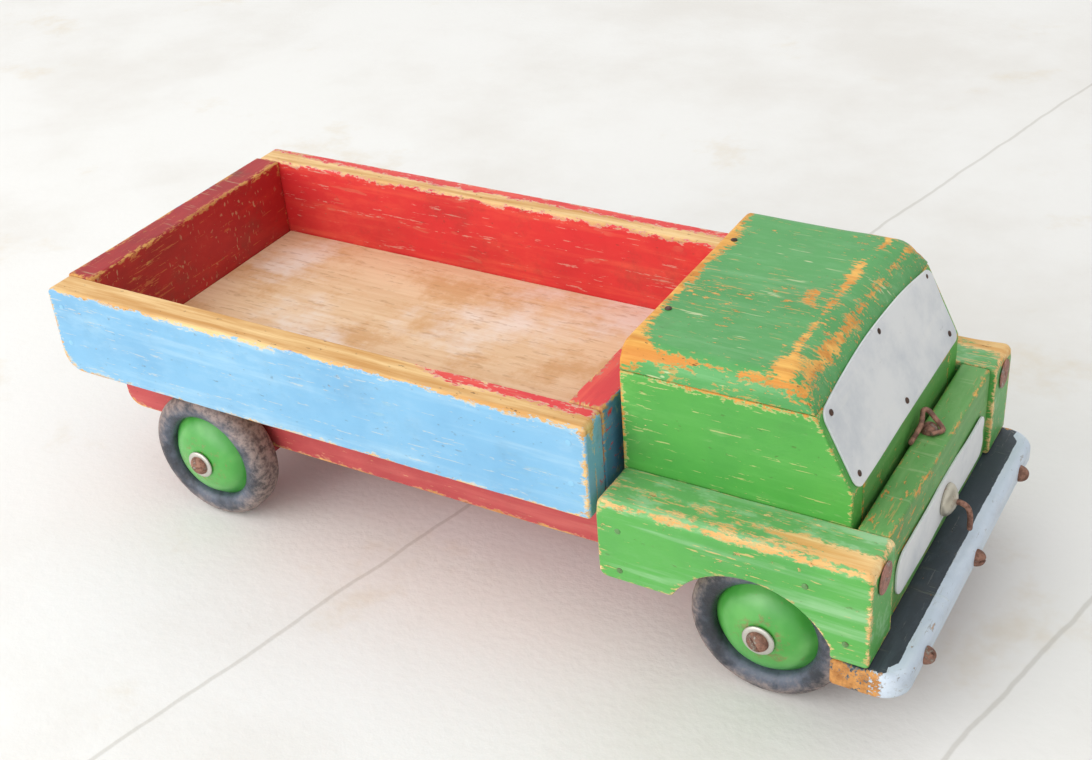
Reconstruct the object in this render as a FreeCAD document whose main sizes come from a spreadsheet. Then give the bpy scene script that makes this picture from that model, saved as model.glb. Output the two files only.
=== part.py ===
"""Toy dump truck made of nailed boards, in millimetres.

+X is forward, +Y is the truck's left and +Z is up. The origin is on the ground
under the middle of the truck's length and width. Every size that a maker would
choose is a cell of the sheet `dims`; every place is an expression on those cells.
"""
import FreeCAD, Part
import math
import os
import re
import Sketcher

Vector = FreeCAD.Vector
Rotation = FreeCAD.Rotation

DIMENSIONS = {
    # wheels and what they turn on
    "wheel_diameter": 56.0, "tyre_width": 14.3, "tread_corner": 4.2, "rim_radius": 19.0, "disc_sheet": 1.0,
    "hub_dome": 2.9, "hub_inset": 0.5, "bush_radius": 4.0, "running_gap": 0.05, "side_gap": 0.3,
    "wheel_screw_radius": 2.1, "wheel_screw_length": 40.0, "washer_radius": 5.8,
    "washer_thickness": 1.2, "washer_gap": 0.2, "toe_clearance": 13.0, "rear_overhang": 28.0,
    # chassis
    "chassis_inset": 8.5, "chassis_height": 18.0, "chassis_rise": 2.5, "chassis_corner": 7.0,
    "axle_block_length": 28.0, "axle_block_drop": 8.0,
    # load bed
    "bed_length": 241.0, "bed_width": 143.0, "bed_height": 37.5, "bed_clearance": 7.5,
    "side_board": 12.0, "front_board": 13.0, "tail_board": 12.5, "floor_ply": 3.0,
    "side_corner": 8.5, "bearer_width": 12.0, "bearer_place": 36.0, "bearer_setback": 15.0,
    "rear_bearer_length": 28.0, "bed_nail_low": 13.5, "bed_nail_high": 30.0,
    # hinge between chassis and bed
    "knuckle_radius": 2.4, "knuckle_gap": 0.3, "hinge_width": 60.0, "hinge_leaf": 1.0,
    "hinge_depth": 18.0, "hinge_pin_radius": 1.2, "hinge_screw_radius": 1.3,
    "hinge_screw_head": 2.4, "hinge_screw_length": 10.0, "hinge_screw_place": 22.0,
    # cab
    "cab_gap": 3.5, "cab_length": 80.3, "cab_width": 107.0, "cab_board": 10.0,
    "cab_wall_height": 53.5, "cab_clearance": 4.0, "roof_board": 10.0, "roof_edge": 6.5,
    "roof_front_edge": 9.0, "sill_height": 27.7, "screen_lean": 26.2, "screen_board": 8.0,
    "roof_nail_place": 26.5,
    # bonnet, fenders and bumper
    "bonnet_gap": 1.7, "bonnet_setback": 2.0, "fender_length": 95.0, "fender_width": 20.7,
    "fender_crown": 20.0, "fender_lobe_rise": 5.5, "fender_lobe_length": 27.0,
    "arch_gap": 3.0, "arch_lift": 1.0, "fender_edge": 4.0, "bumper_stand_out": 12.0,
    "bumper_depth": 25.0, "bumper_width": 149.4, "bumper_height": 10.0, "bumper_rise": 0.5,
    "bumper_corner": 8.0,
    # plates and fittings
    "plate_sheet": 0.8, "screen_plate_length": 28.4, "screen_plate_margin": 3.0,
    "screen_plate_corner": 4.0, "screen_nail_edge": 3.2,
    "screen_nail_margin": 4.5, "grille_margin": 7.0, "grille_height": 17.5, "grille_low": 6.5,
    "grille_corner": 6.0, "light_radius": 5.5, "light_drop": 7.5,
    "screw_head_radius": 4.0, "small_screw_head": 3.2, "screw_head_height": 3.4,
    "screw_slot": 1.0, "screw_slot_depth": 1.3,
    "bumper_screw_length": 21.0, "bumper_middle_screw_length": 37.0, "bumper_screw_place": 54.0,
    "nail_radius": 0.8, "nail_head_radius": 1.2, "nail_head": 0.5, "nail_length": 26.0,
    "short_nail_length": 16.0, "tack_length": 8.0, "fender_nail_drop": 11.0, "fender_nail_rear": 8.0,
    "fender_nail_front": 7.0, "fender_nail_toe": 5.0, "fender_nail_foot": 8.0, "fender_nail_lobe": 4.5,
    "hook_wire": 1.0, "hook_bend": 5.2, "hook_collar": 6.0, "hook_collar_height": 4.2,
    "hook_offset": 3.0, "clip_wire": 0.9, "clip_screw_length": 14.0, "clip_screw_back": 7.6,
    "clip_screw_side": 7.0,
}

doc = FreeCAD.newDocument("toy_dump_truck")
sheet = doc.addObject("Spreadsheet::Sheet", "dims")
for row, (alias, size) in enumerate(DIMENSIONS.items(), start=1):
    sheet.set(f"A{row}", str(size))
    sheet.setAlias(f"A{row}", alias)
doc.recompute()

NODES = {}


# ---------------------------------------------------------------- places
def total(*terms):
    """The sum of several expressions, as one expression."""
    return "(" + " + ".join(f"({term})" for term in terms) + ")"


def less(first, *others):
    """The first expression less all the others."""
    return "(" + " - ".join(f"({term})" for term in (first,) + others) + ")"


AXLE_Z = "(wheel_diameter / 2)"
CHASSIS_LOW = total(AXLE_Z, "chassis_rise")
CHASSIS_TOP = total(CHASSIS_LOW, "chassis_height")
BED_LOW = "(wheel_diameter + bed_clearance)"
BED_TOP = total(BED_LOW, "bed_height")
FLOOR_TOP = total(BED_LOW, "floor_ply")
CAB_LOW = "(wheel_diameter + cab_clearance)"
WALL_TOP = total(CAB_LOW, "cab_wall_height")
ROOF_TOP = total(WALL_TOP, "roof_board")
SILL = total(CAB_LOW, "sill_height")
FENDER_TOP = "(wheel_diameter + fender_crown)"
BUMPER_LOW = total(AXLE_Z, "bumper_rise")
BUMPER_TOP = total(BUMPER_LOW, "bumper_height")

LENGTH = ("(bed_length + cab_gap + fender_length + bumper_stand_out + screw_head_height"
          " + 2 * knuckle_radius + knuckle_gap)")
BUMPER_FRONT = f"({LENGTH} / 2 - screw_head_height)"
FENDER_FRONT = less(BUMPER_FRONT, "bumper_stand_out")
CAB_REAR = less(FENDER_FRONT, "fender_length")
CAB_FRONT = total(CAB_REAR, "cab_length")
BONNET_REAR = total(CAB_FRONT, "bonnet_gap")
BONNET_FRONT = less(FENDER_FRONT, "bonnet_setback")
BUMPER_REAR = less(BUMPER_FRONT, "bumper_depth")
BED_FRONT = less(CAB_REAR, "cab_gap")
BED_REAR = less(BED_FRONT, "bed_length")
HINGE_X = less(BED_REAR, "knuckle_radius", "knuckle_gap")
FRONT_AXLE_X = less(FENDER_FRONT, "toe_clearance", AXLE_Z)
REAR_AXLE_X = total(BED_REAR, "rear_overhang", AXLE_Z)

CAB_SIDE = "(cab_width / 2)"
FENDER_SIDE = total(CAB_SIDE, "fender_width")
BED_SIDE = "(bed_width / 2)"
BED_INNER = less(BED_SIDE, "side_board")
CHASSIS_SIDE = less(CAB_SIDE, "chassis_inset")

HUB_IN = total(CHASSIS_SIDE, "washer_thickness", "side_gap")
TYRE_IN = total(HUB_IN, "hub_inset")
TYRE_OUT = total(TYRE_IN, "tyre_width")
HUB_OUT = total(TYRE_OUT, "hub_dome")
WASHER_OUT = total(HUB_OUT, "side_gap")
SCREW_SEAT = total(WASHER_OUT, "washer_thickness")

SCREEN_RUN = f"(({less(WALL_TOP, SILL)}) * tan(screen_lean * 1deg))"
SCREEN_TOP_X = less(CAB_FRONT, SCREEN_RUN)
SCREEN_PLATE_SIDE = less(CAB_SIDE, "screen_plate_margin")


def on_screen(down, out="0"):
    """A point `down` the sloping windscreen from its top edge and `out` from its face."""
    across = f"(({down}) * sin(screen_lean * 1deg) + ({out}) * cos(screen_lean * 1deg))"
    drop = f"(({down}) * cos(screen_lean * 1deg) - ({out}) * sin(screen_lean * 1deg))"
    return total(SCREEN_TOP_X, across), less(WALL_TOP, drop)


def bound(text):
    """The expression with each alias of the sheet written as dims.alias."""
    return re.sub(r"[a-z_]+", lambda word: "dims." + word[0] if word[0] in DIMENSIONS else word[0], text)


def bind(thing, **expressions):
    """Binds properties of an object to expressions; a double underscore stands for a dot."""
    for name, text in expressions.items():
        thing.setExpression(name.replace("__", "."), bound(text))


def place(thing, spot, turn="+z"):
    """Puts an object's own origin at `spot`, with its +Z turned to the way named."""
    thing.Placement.Rotation = TURNS[turn]
    bind(thing, Placement__Base__x=spot[0], Placement__Base__y=spot[1], Placement__Base__z=spot[2])
    if turn == "screen":
        bind(thing, Placement__Rotation__Angle="(90 - screen_lean) * 1deg")


TURNS = {
    "+z": Rotation(),
    "-z": Rotation(Vector(1, 0, 0), 180),
    "+x": Rotation(Vector(0, 1, 0), 90),
    "+y": Rotation(Vector(1, 0, 0), -90),
    "-y": Rotation(Vector(1, 0, 0), 90),
    "screen": Rotation(Vector(0, 1, 0), 60),
}


# ---------------------------------------------------------------- ways of making
def origin_plane(body, role):
    return next(plane for plane in body.Origin.OriginFeatures if plane.Role == role)


def outline(body, role, corners):
    """A closed sketch of straight lines whose corners are held by the sheet's values."""
    sketch = body.newObject("Sketcher::SketchObject", "outline")
    sketch.AttachmentSupport = [(origin_plane(body, role), "")]
    sketch.MapMode = "FlatFace"
    count = len(corners)
    start = [Vector(math.cos(2 * math.pi * i / count), math.sin(2 * math.pi * i / count), 0)
             for i in range(count)]
    for i in range(count):
        sketch.addGeometry(Part.LineSegment(start[i], start[(i + 1) % count]))
    for i in range(count):
        sketch.addConstraint(Sketcher.Constraint("Coincident", i, 2, (i + 1) % count, 1))
    for i, corner in enumerate(corners):
        for way, distance, text in zip(("DistanceX", "DistanceY"), start[i], corner):
            held = sketch.addConstraint(Sketcher.Constraint(way, -1, 1, i, 1, distance))
            sketch.setExpression(f"Constraints[{held}]", bound(text))
    return sketch


def pad(body, sketch, thickness):
    feature = body.newObject("PartDesign::Pad", "pad")
    feature.Profile = sketch
    feature.Midplane = True
    bind(feature, Length=thickness)
    return feature


def round_edges(body, sides, radius):
    """Rounds the edges whose middle lies on the named sides of the body's box.

    `sides` maps an axis to 0 for its low side or 1 for its high side.
    """
    doc.recompute()
    base = body.Tip
    box = base.Shape.BoundBox
    limits = {"x": (box.XMin, box.XMax), "y": (box.YMin, box.YMax), "z": (box.ZMin, box.ZMax)}
    picked = []
    for index, edge in enumerate(base.Shape.Edges, start=1):
        middle = edge.CenterOfMass
        if all(abs(getattr(middle, axis) - limits[axis][side]) < 1e-4 for axis, side in sides.items()):
            picked.append(f"Edge{index}")
    feature = body.newObject("PartDesign::Fillet", "rounding")
    feature.Base = (base, picked)
    bind(feature, Radius=radius)


def new_body(name):
    body = doc.addObject("PartDesign::Body", name)
    body.Label = name
    return body


def keep(name, thing):
    """Makes an object the sub-part of that name."""
    thing.Label = name
    NODES[name] = thing
    return thing


def board(name, low, high, rounded=()):
    """A rectangular board between two corners, with chosen edges rounded."""
    body = new_body(name)
    sizes = [less(top, bottom) for bottom, top in zip(low, high)]
    halves = [f"({size} / 2)" for size in sizes]
    corners = [(f"-{halves[0]}", f"-{halves[1]}"), (halves[0], f"-{halves[1]}"),
               (halves[0], halves[1]), (f"-{halves[0]}", halves[1])]
    pad(body, outline(body, "XY_Plane", corners), sizes[2])
    for sides, radius in rounded:
        round_edges(body, sides, radius)
    place(body, [f"({bottom} + {half})" for bottom, half in zip(low, halves)])
    return body


def side_profile(name, corners, low_y, high_y):
    """A board sawn to an outline seen from the side, given as (x, z) corners."""
    body = new_body(name)
    pad(body, outline(body, "XZ_Plane", corners), less(high_y, low_y))
    place(body, ("0", f"({total(low_y, high_y)} / 2)", "0"))
    return body


def turned(name, corners):
    """A piece turned about its own Z axis from an outline of (radius, height) corners."""
    body = new_body(name)
    sketch = outline(body, "XZ_Plane", corners)
    feature = body.newObject("PartDesign::Revolution", "turning")
    feature.Profile = sketch
    feature.ReferenceAxis = (sketch, ["V_Axis"])
    feature.Angle = 360
    return body


def cylinder(name, radius, low, high, turn):
    """A plain cylinder from one point along +x, +y or +z as far as another's coordinate."""
    piece = doc.addObject("Part::Cylinder", name)
    axis = "xyz".index(turn[1])
    bind(piece, Radius=radius, Height=less(high[axis], low[axis]))
    place(piece, low, turn)
    return piece


def block(name, low, high):
    """A plain box between two corners, used to join or cut other pieces."""
    piece = doc.addObject("Part::Box", name)
    bind(piece, Length=less(high[0], low[0]), Width=less(high[1], low[1]), Height=less(high[2], low[2]))
    place(piece, low)
    return piece


def cut(name, base, *tools):
    """The base with each tool's shape taken out of it."""
    for tool in tools:
        result = doc.addObject("Part::Cut", name)
        result.Base = base
        result.Tool = tool
        base = result
    return base


def fuse(name, pieces):
    result = doc.addObject("Part::MultiFuse", name)
    result.Shapes = pieces
    return result


def group(name, pieces):
    """Several like pieces kept as one sub-part of separate solids."""
    result = doc.addObject("Part::Compound", name)
    result.Links = pieces
    return keep(name, result)


# ---------------------------------------------------------------- fasteners
def nail(name, length="nail_length"):
    """A flat-headed nail along +Z; its origin is under the head."""
    return turned(name, [("0", f"-{length}"), ("nail_radius", f"-{length}"), ("nail_radius", "0"),
                         ("nail_head_radius", "0"), ("nail_head_radius", "nail_head"), ("0", "nail_head")])


def round_head_screw(name, shank, length, rim="screw_head_radius"):
    """A slotted round-headed wood screw along +Z; its origin is under the head."""
    top = "screw_head_height"
    body = turned(name, [("0", f"-{length}"), (shank, f"-{length}"), (shank, "0"), (rim, "0"),
                         (f"{rim} * 0.93", f"{top} * 0.38"), (f"{rim} * 0.7", f"{top} * 0.75"),
                         (f"{rim} * 0.35", f"{top} * 0.96"), ("0", top)])
    floor = f"{top} - screw_slot_depth"
    sketch = outline(body, "XZ_Plane", [("-screw_slot / 2", floor), ("screw_slot / 2", floor),
                                        ("screw_slot / 2", f"{top} + 1"), ("-screw_slot / 2", f"{top} + 1")])
    whole = body.Tip
    slot = body.newObject("PartDesign::Pocket", "slot")
    slot.Profile = sketch
    slot.Midplane = True
    bind(slot, Length=f"4 * {rim}")
    doc.recompute()
    if slot.Shape.Volume >= whole.Shape.Volume:
        raise RuntimeError(f"the slot of {name} cuts nothing")
    return body


def countersunk_screw(name):
    """A small countersunk screw along +Z; its origin is at the middle of its flat head."""
    return turned(name, [("0", "-hinge_screw_length"), ("hinge_screw_radius", "-hinge_screw_length"),
                         ("hinge_screw_radius", "-hinge_leaf"), ("hinge_screw_head", "0"), ("0", "0")])


def placed_group(name, maker, spots):
    """One fastener at each (place, way) in spots, kept together as a sub-part."""
    pieces = []
    for index, (spot, turn) in enumerate(spots, start=1):
        piece = maker(f"{name}_{index}")
        place(piece, spot, turn)
        pieces.append(piece)
    return group(name, pieces)


# ---------------------------------------------------------------- sub-parts
def make_chassis(wheel_screws, hinge_screws, bumper_screws):
    side, back, front = CHASSIS_SIDE, BED_REAR, BUMPER_REAR
    blank = board("chassis_blank", (back, f"-{side}", CHASSIS_LOW), (front, side, CHASSIS_TOP),
                  [({"x": 0, "z": 0}, "chassis_corner")])
    recess = block("hinge_recess_low", (less(back, "1"), "-hinge_width / 2", less(CHASSIS_TOP, "hinge_leaf")),
                   (total(back, "hinge_depth"), "hinge_width / 2", total(CHASSIS_TOP, "1")))
    keep("chassis_board", cut("chassis_board", blank, recess, hinge_screws, bumper_screws))
    for name, centre in (("front_axle_block", FRONT_AXLE_X), ("rear_axle_block", REAR_AXLE_X)):
        blank = board(f"{name}_blank", (f"({centre} - axle_block_length / 2)", f"-{side}",
                                        less(AXLE_Z, "axle_block_drop")),
                      (f"({centre} + axle_block_length / 2)", side, CHASSIS_LOW))
        keep(name, cut(name, blank, wheel_screws))


def make_cab(roof_nails, fender_nails, screen_nails):
    side, inner = CAB_SIDE, less(CAB_SIDE, "cab_board")
    keep("cab_base", board("cab_base", (CAB_REAR, f"-{CHASSIS_SIDE}", CHASSIS_TOP),
                           (CAB_FRONT, CHASSIS_SIDE, CAB_LOW)))
    back = board("cab_back_blank", (CAB_REAR, f"-{inner}", CAB_LOW),
                 (total(CAB_REAR, "cab_board"), inner, WALL_TOP))
    keep("cab_back_board", cut("cab_back_board", back, roof_nails))
    wall = [(CAB_REAR, CAB_LOW), (CAB_FRONT, CAB_LOW), (CAB_FRONT, SILL), (SCREEN_TOP_X, WALL_TOP),
            (CAB_REAR, WALL_TOP)]
    for name, low, high in (("cab_side_left", inner, side), ("cab_side_right", f"-{side}", f"-{inner}")):
        keep(name, cut(name, side_profile(f"{name}_blank", wall, low, high), fender_nails, screen_nails))
    screen = [(less(CAB_FRONT, "screen_board"), CAB_LOW), (CAB_FRONT, CAB_LOW), (CAB_FRONT, SILL),
              (SCREEN_TOP_X, WALL_TOP), (less(SCREEN_TOP_X, "screen_board"), WALL_TOP),
              (less(CAB_FRONT, "screen_board"), SILL)]
    blank = side_profile("cab_screen_blank", screen, f"-{inner}", inner)
    keep("cab_screen_board", cut("cab_screen_board", blank, screen_nails))
    roof = board("cab_roof_blank", (CAB_REAR, f"-{side}", WALL_TOP), (SCREEN_TOP_X, side, ROOF_TOP),
                 [({"x": 1, "z": 1}, "roof_front_edge"), ({"y": 0, "z": 1}, "roof_edge"),
                  ({"y": 1, "z": 1}, "roof_edge")])
    keep("cab_roof_board", cut("cab_roof_board", roof, roof_nails))


def make_bonnet(fender_nails, clip_screw, hook):
    blank = board("bonnet_blank", (BONNET_REAR, f"-{CAB_SIDE}", BUMPER_TOP),
                  (BONNET_FRONT, CAB_SIDE, FENDER_TOP))
    keep("bonnet_block", cut("bonnet_block", blank, fender_nails, clip_screw, hook))


def make_fenders(fender_nails, light_nails):
    """A board on edge, sawn out round over the front wheel; its rear end is a shorter lobe."""
    lobe_low = total(BUMPER_TOP, "fender_lobe_rise")
    lobe_front = total(CAB_REAR, "fender_lobe_length")
    foot_rear = less(FENDER_FRONT, "toe_clearance")
    arch_z = total(AXLE_Z, "arch_lift")
    arch_radius = total(AXLE_Z, "arch_gap")
    corners = [(CAB_REAR, lobe_low), (lobe_front, lobe_low), (FRONT_AXLE_X, arch_z), (foot_rear, BUMPER_TOP),
               (FENDER_FRONT, BUMPER_TOP), (FENDER_FRONT, FENDER_TOP), (CAB_REAR, FENDER_TOP)]
    for name, low, high, outer in (("fender_left", CAB_SIDE, FENDER_SIDE, 1),
                                   ("fender_right", f"-{FENDER_SIDE}", f"-{CAB_SIDE}", 0)):
        body = side_profile(f"{name}_blank", corners, low, high)
        round_edges(body, {"y": outer, "z": 1}, "fender_edge")
        arch = cylinder(f"{name}_arch", arch_radius, (FRONT_AXLE_X, low, arch_z),
                        (FRONT_AXLE_X, high, arch_z), "+y")
        keep(name, cut(name, body, arch, fender_nails, light_nails))


def make_bumper(bumper_screws):
    half = "(bumper_width / 2)"
    blank = board("bumper_blank", (BUMPER_REAR, f"-{half}", BUMPER_LOW), (BUMPER_FRONT, half, BUMPER_TOP),
                  [({"x": 1, "y": 0}, "bumper_corner"), ({"x": 1, "y": 1}, "bumper_corner")])
    keep("bumper_board", cut("bumper_board", blank, bumper_screws))


def make_screen_plate(screen_nails):
    """A sheet-metal plate laid on the sloping front of the cab."""
    body = new_body("screen_plate_blank")
    length, width = "(screen_plate_length / 2)", SCREEN_PLATE_SIDE
    pad(body, outline(body, "XY_Plane", [(f"-{length}", f"-{width}"), (length, f"-{width}"),
                                         (length, width), (f"-{length}", width)]), "plate_sheet")
    for end in (0, 1):
        for side in (0, 1):
            round_edges(body, {"x": end, "y": side}, "screen_plate_corner")
    across, height = on_screen(length, "plate_sheet / 2")
    place(body, (across, "0", height), "screen")
    keep("windscreen_plate", cut("windscreen_plate", body, screen_nails))


def make_grille(hook):
    half = less(CAB_SIDE, "grille_margin")
    low = total(BUMPER_TOP, "grille_low")
    blank = board("grille_blank", (BONNET_FRONT, f"-{half}", low),
                  (total(BONNET_FRONT, "plate_sheet"), half, total(low, "grille_height")),
                  [({"y": 0, "z": 0}, "grille_corner"), ({"y": 1, "z": 0}, "grille_corner"),
                   ({"y": 0, "z": 1}, "grille_corner"), ({"y": 1, "z": 1}, "grille_corner")])
    keep("grille_plate", cut("grille_plate", blank, hook))


def make_hook():
    """A cup hook: a screwed shank, a domed collar on the plate and a bend that turns out and down."""
    face = total(BONNET_FRONT, "plate_sheet")
    level = total(BUMPER_TOP, "grille_low", "grille_height * 0.43")
    collar = turned("hook_collar_turned", [("0", "-tack_length"), ("hook_wire", "-tack_length"),
                                           ("hook_wire", "0"), ("hook_collar", "0"),
                                           ("hook_collar * 0.75", "hook_collar_height * 0.7"),
                                           ("0", "hook_collar_height")])
    place(collar, (face, "hook_offset", level), "+x")
    bend_x = total(face, "hook_collar_height", "hook_wire")
    neck = cylinder("hook_neck", "hook_wire", (face, "hook_offset", level),
                    (bend_x, "hook_offset", level), "+x")
    bend = doc.addObject("Part::Torus", "hook_bend_ring")
    bind(bend, Radius1="hook_bend", Radius2="hook_wire")
    bend.Angle3 = 135
    bind(bend, Placement__Base__x=bend_x, Placement__Base__y="hook_offset",
         Placement__Base__z=less(level, "hook_bend"))
    bend.Placement.Rotation = Rotation(Vector(0, 0, 1), Vector(1, 0, 0), Vector(0, 1, 0), "ZXY")
    return fuse("front_hook", [collar, neck, bend])


def make_clip():
    """A bent wire clip held down on the bonnet by a round-headed screw.

    Its bends are measured from the bonnet's front top edge: back, across and up.
    """
    size = {alias: float(sheet.get(alias)) for alias in DIMENSIONS}
    length = (size["bed_length"] + size["cab_gap"] + size["fender_length"] + size["bumper_stand_out"]
              + size["screw_head_height"] + 2 * size["knuckle_radius"] + size["knuckle_gap"])
    front = length / 2 - size["screw_head_height"] - size["bumper_stand_out"] - size["bonnet_setback"]
    wire = size["clip_wire"]
    foot = size["wheel_diameter"] + size["fender_crown"] + wire
    bends = ((10.4, -3.0, 0.0), (10.6, 7.6, 4.6), (11.0, 13.2, 3.6), (3.2, 11.6, 0.0))
    route = [Vector(front - back, across, foot + up) for back, across, up in bends]
    solid = Part.makeSphere(wire, route[0])
    for start, end in zip(route, route[1:]):
        run = end - start
        solid = solid.fuse([Part.makeCylinder(wire, run.Length, start, run), Part.makeSphere(wire, end)])
    clip = doc.addObject("Part::Feature", "bonnet_clip")
    clip.Shape = solid.removeSplitter()
    keep("bonnet_clip", clip)


def make_lights():
    """A thin steel disc on the front of each fender, with a nail through its middle."""
    height = less(FENDER_TOP, "light_drop")
    middle = f"({total(CAB_SIDE, FENDER_SIDE)} / 2)"
    spots = []
    for name, side in (("headlight_left", middle), ("headlight_right", f"-{middle}")):
        disc = turned(f"{name}_disc", [("nail_radius", "0"), ("light_radius", "0"),
                                       ("light_radius", "plate_sheet"), ("nail_radius", "plate_sheet")])
        place(disc, (FENDER_FRONT, side, height), "+x")
        keep(name, disc)
        spots.append(((total(FENDER_FRONT, "plate_sheet"), side, height), "+x"))
    return placed_group("headlight_nails", lambda name: nail(name, "tack_length"), spots)


def make_bed(bed_nails, hinge_screws):
    side, inner = BED_SIDE, BED_INNER
    rear, front = BED_REAR, BED_FRONT
    for name, low, high in (("bed_side_left", inner, side), ("bed_side_right", f"-{side}", f"-{inner}")):
        blank = board(f"{name}_blank", (rear, low, BED_LOW), (front, high, BED_TOP),
                      [({"x": 0, "z": 0}, "side_corner")])
        keep(name, cut(name, blank, bed_nails))
    tail_in, front_in = total(rear, "tail_board"), less(front, "front_board")
    for name, start, end in (("bed_tail_board", rear, tail_in), ("bed_front_board", front_in, front)):
        blank = board(f"{name}_blank", (start, f"-{inner}", BED_LOW), (end, inner, BED_TOP))
        keep(name, cut(name, blank, bed_nails))
    keep("bed_floor", board("bed_floor", (tail_in, f"-{inner}", BED_LOW), (front_in, inner, FLOOR_TOP)))
    cross_end = total(rear, "rear_bearer_length")
    blank = board("rear_bearer_blank", (rear, f"-{CHASSIS_SIDE}", CHASSIS_TOP),
                  (cross_end, CHASSIS_SIDE, BED_LOW))
    recess = block("hinge_recess_high", (less(rear, "1"), "-hinge_width / 2", less(CHASSIS_TOP, "1")),
                   (total(rear, "hinge_depth"), "hinge_width / 2", total(CHASSIS_TOP, "hinge_leaf")))
    keep("bed_rear_bearer", cut("bed_rear_bearer", blank, recess, hinge_screws))
    low, high = "(bearer_place - bearer_width / 2)", "(bearer_place + bearer_width / 2)"
    bearer_end = less(front, "bearer_setback")
    for name, start, end in (("bed_bearer_left", low, high), ("bed_bearer_right", f"-{high}", f"-{low}")):
        keep(name, board(name, (cross_end, start, CHASSIS_TOP), (bearer_end, end, BED_LOW)))


KNUCKLES = 5


def knuckle_span(index):
    """Where one knuckle starts and ends across the hinge, with half a gap at each end."""
    start = f"(hinge_width * ({index / KNUCKLES} - 0.5) + knuckle_gap / 2)"
    end = f"(hinge_width * ({(index + 1) / KNUCKLES} - 0.5) - knuckle_gap / 2)"
    return start, end


def make_leaf(name, low, high, indexes, bore_radius, screws):
    """A hinge leaf: a flat plate, its own knuckles and the tabs between them."""
    start = total(HINGE_X, "knuckle_radius", "knuckle_gap")
    pieces = [block(f"{name}_plate", (start, "-hinge_width / 2", low),
                    (total(BED_REAR, "hinge_depth"), "hinge_width / 2", high))]
    for index in indexes:
        near, far = knuckle_span(index)
        pieces.append(cylinder(f"{name}_knuckle_{index}", "knuckle_radius", (HINGE_X, near, CHASSIS_TOP),
                               (HINGE_X, far, CHASSIS_TOP), "+y"))
        pieces.append(block(f"{name}_tab_{index}", (HINGE_X, near, low), (start, far, high)))
    bore = cylinder(f"{name}_bore", bore_radius, (HINGE_X, "-hinge_width", CHASSIS_TOP),
                    (HINGE_X, "hinge_width", CHASSIS_TOP), "+y")
    keep(name, cut(name, fuse(f"{name}_whole", pieces), bore, screws))


def make_hinge(fixed_screws, moving_screws):
    make_leaf("hinge_fixed_leaf", less(CHASSIS_TOP, "hinge_leaf"), CHASSIS_TOP, (0, 2, 4),
              "hinge_pin_radius", fixed_screws)
    make_leaf("hinge_moving_leaf", CHASSIS_TOP, total(CHASSIS_TOP, "hinge_leaf"), (1, 3),
              "hinge_pin_radius + running_gap", moving_screws)
    keep("hinge_pin", cylinder("hinge_pin", "hinge_pin_radius", (HINGE_X, "-hinge_width / 2", CHASSIS_TOP),
                               (HINGE_X, "hinge_width / 2", CHASSIS_TOP), "+y"))


def make_wheel(corner, axle_x, way):
    """One wheel: a rubber tyre over two pressed discs that are held on a bush.

    Its own Z runs outwards from the tyre's inner face.
    """
    sign = "" if way == "+y" else "-"
    spot = (axle_x, f"{sign}{TYRE_IN}", AXLE_Z)
    tread, width, rim, skin = AXLE_Z, "tyre_width", "rim_radius", "disc_sheet"
    tyre = turned(f"tyre_{corner}", [
        (rim, "disc_sheet"), (f"{rim} + disc_sheet", "0"), (f"{tread} - tread_corner", "0"),
        (f"{tread} - tread_corner * 0.25", "tread_corner * 0.4"), (tread, "tread_corner"),
        (tread, f"{width} - tread_corner"),
        (f"{tread} - tread_corner * 0.25", f"{width} - tread_corner * 0.4"),
        (f"{tread} - tread_corner", width), (f"{rim} + disc_sheet", width), (rim, f"{width} - disc_sheet")])
    seam = f"{width} / 2"
    outer = turned(f"hub_outer_disc_{corner}", [
        (rim, seam), (rim, f"{width} - 1.5"), (f"{rim} - 1.5", f"{width} - 0.2"),
        (f"{rim} * 0.65", f"{width} + hub_dome * 0.55"), ("bush_radius", f"{width} + hub_dome"),
        ("bush_radius", f"{width} + hub_dome - {skin}"),
        (f"{rim} * 0.63", f"{width} + hub_dome * 0.55 - {skin}"), (f"{rim} - 2", f"{width} - 0.2 - {skin}"),
        (f"{rim} - {skin}", f"{width} - 2.1"), (f"{rim} - {skin}", seam)])
    inner = turned(f"hub_inner_disc_{corner}", [
        (rim, seam), (rim, "hub_inset + 1.5"), (f"{rim} - 1.5", "hub_inset"), ("bush_radius", "hub_inset"),
        ("bush_radius", f"hub_inset + {skin}"), (f"{rim} - 2", f"hub_inset + {skin}"),
        (f"{rim} - {skin}", "hub_inset + 2.1"), (f"{rim} - {skin}", seam)])
    bore = "(wheel_screw_radius + running_gap)"
    bush = turned(f"hub_bush_{corner}", [
        (bore, "-hub_inset"), ("bush_radius", "-hub_inset"), ("bush_radius", f"{width} + hub_dome"),
        (bore, f"{width} + hub_dome")])
    for piece in (tyre, outer, inner, bush):
        place(piece, spot, way)
        keep(piece.Label, piece)


def washer(name):
    return turned(name, [("wheel_screw_radius + washer_gap", "0"), ("washer_radius", "0"),
                         ("washer_radius", "washer_thickness"),
                         ("wheel_screw_radius + washer_gap", "washer_thickness")])


WHEELS = (("front_left", FRONT_AXLE_X, "+y"), ("front_right", FRONT_AXLE_X, "-y"),
          ("rear_left", REAR_AXLE_X, "+y"), ("rear_right", REAR_AXLE_X, "-y"))


def at_wheels(distance):
    """The point at each wheel's axle line, that far from the truck's middle."""
    return [((axle_x, distance if way == "+y" else f"-{distance}", AXLE_Z), way)
            for corner, axle_x, way in WHEELS]


def both_sides(distance, x, z):
    return [((x, distance, z), "+y"), ((x, f"-{distance}", z), "-y")]


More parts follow.
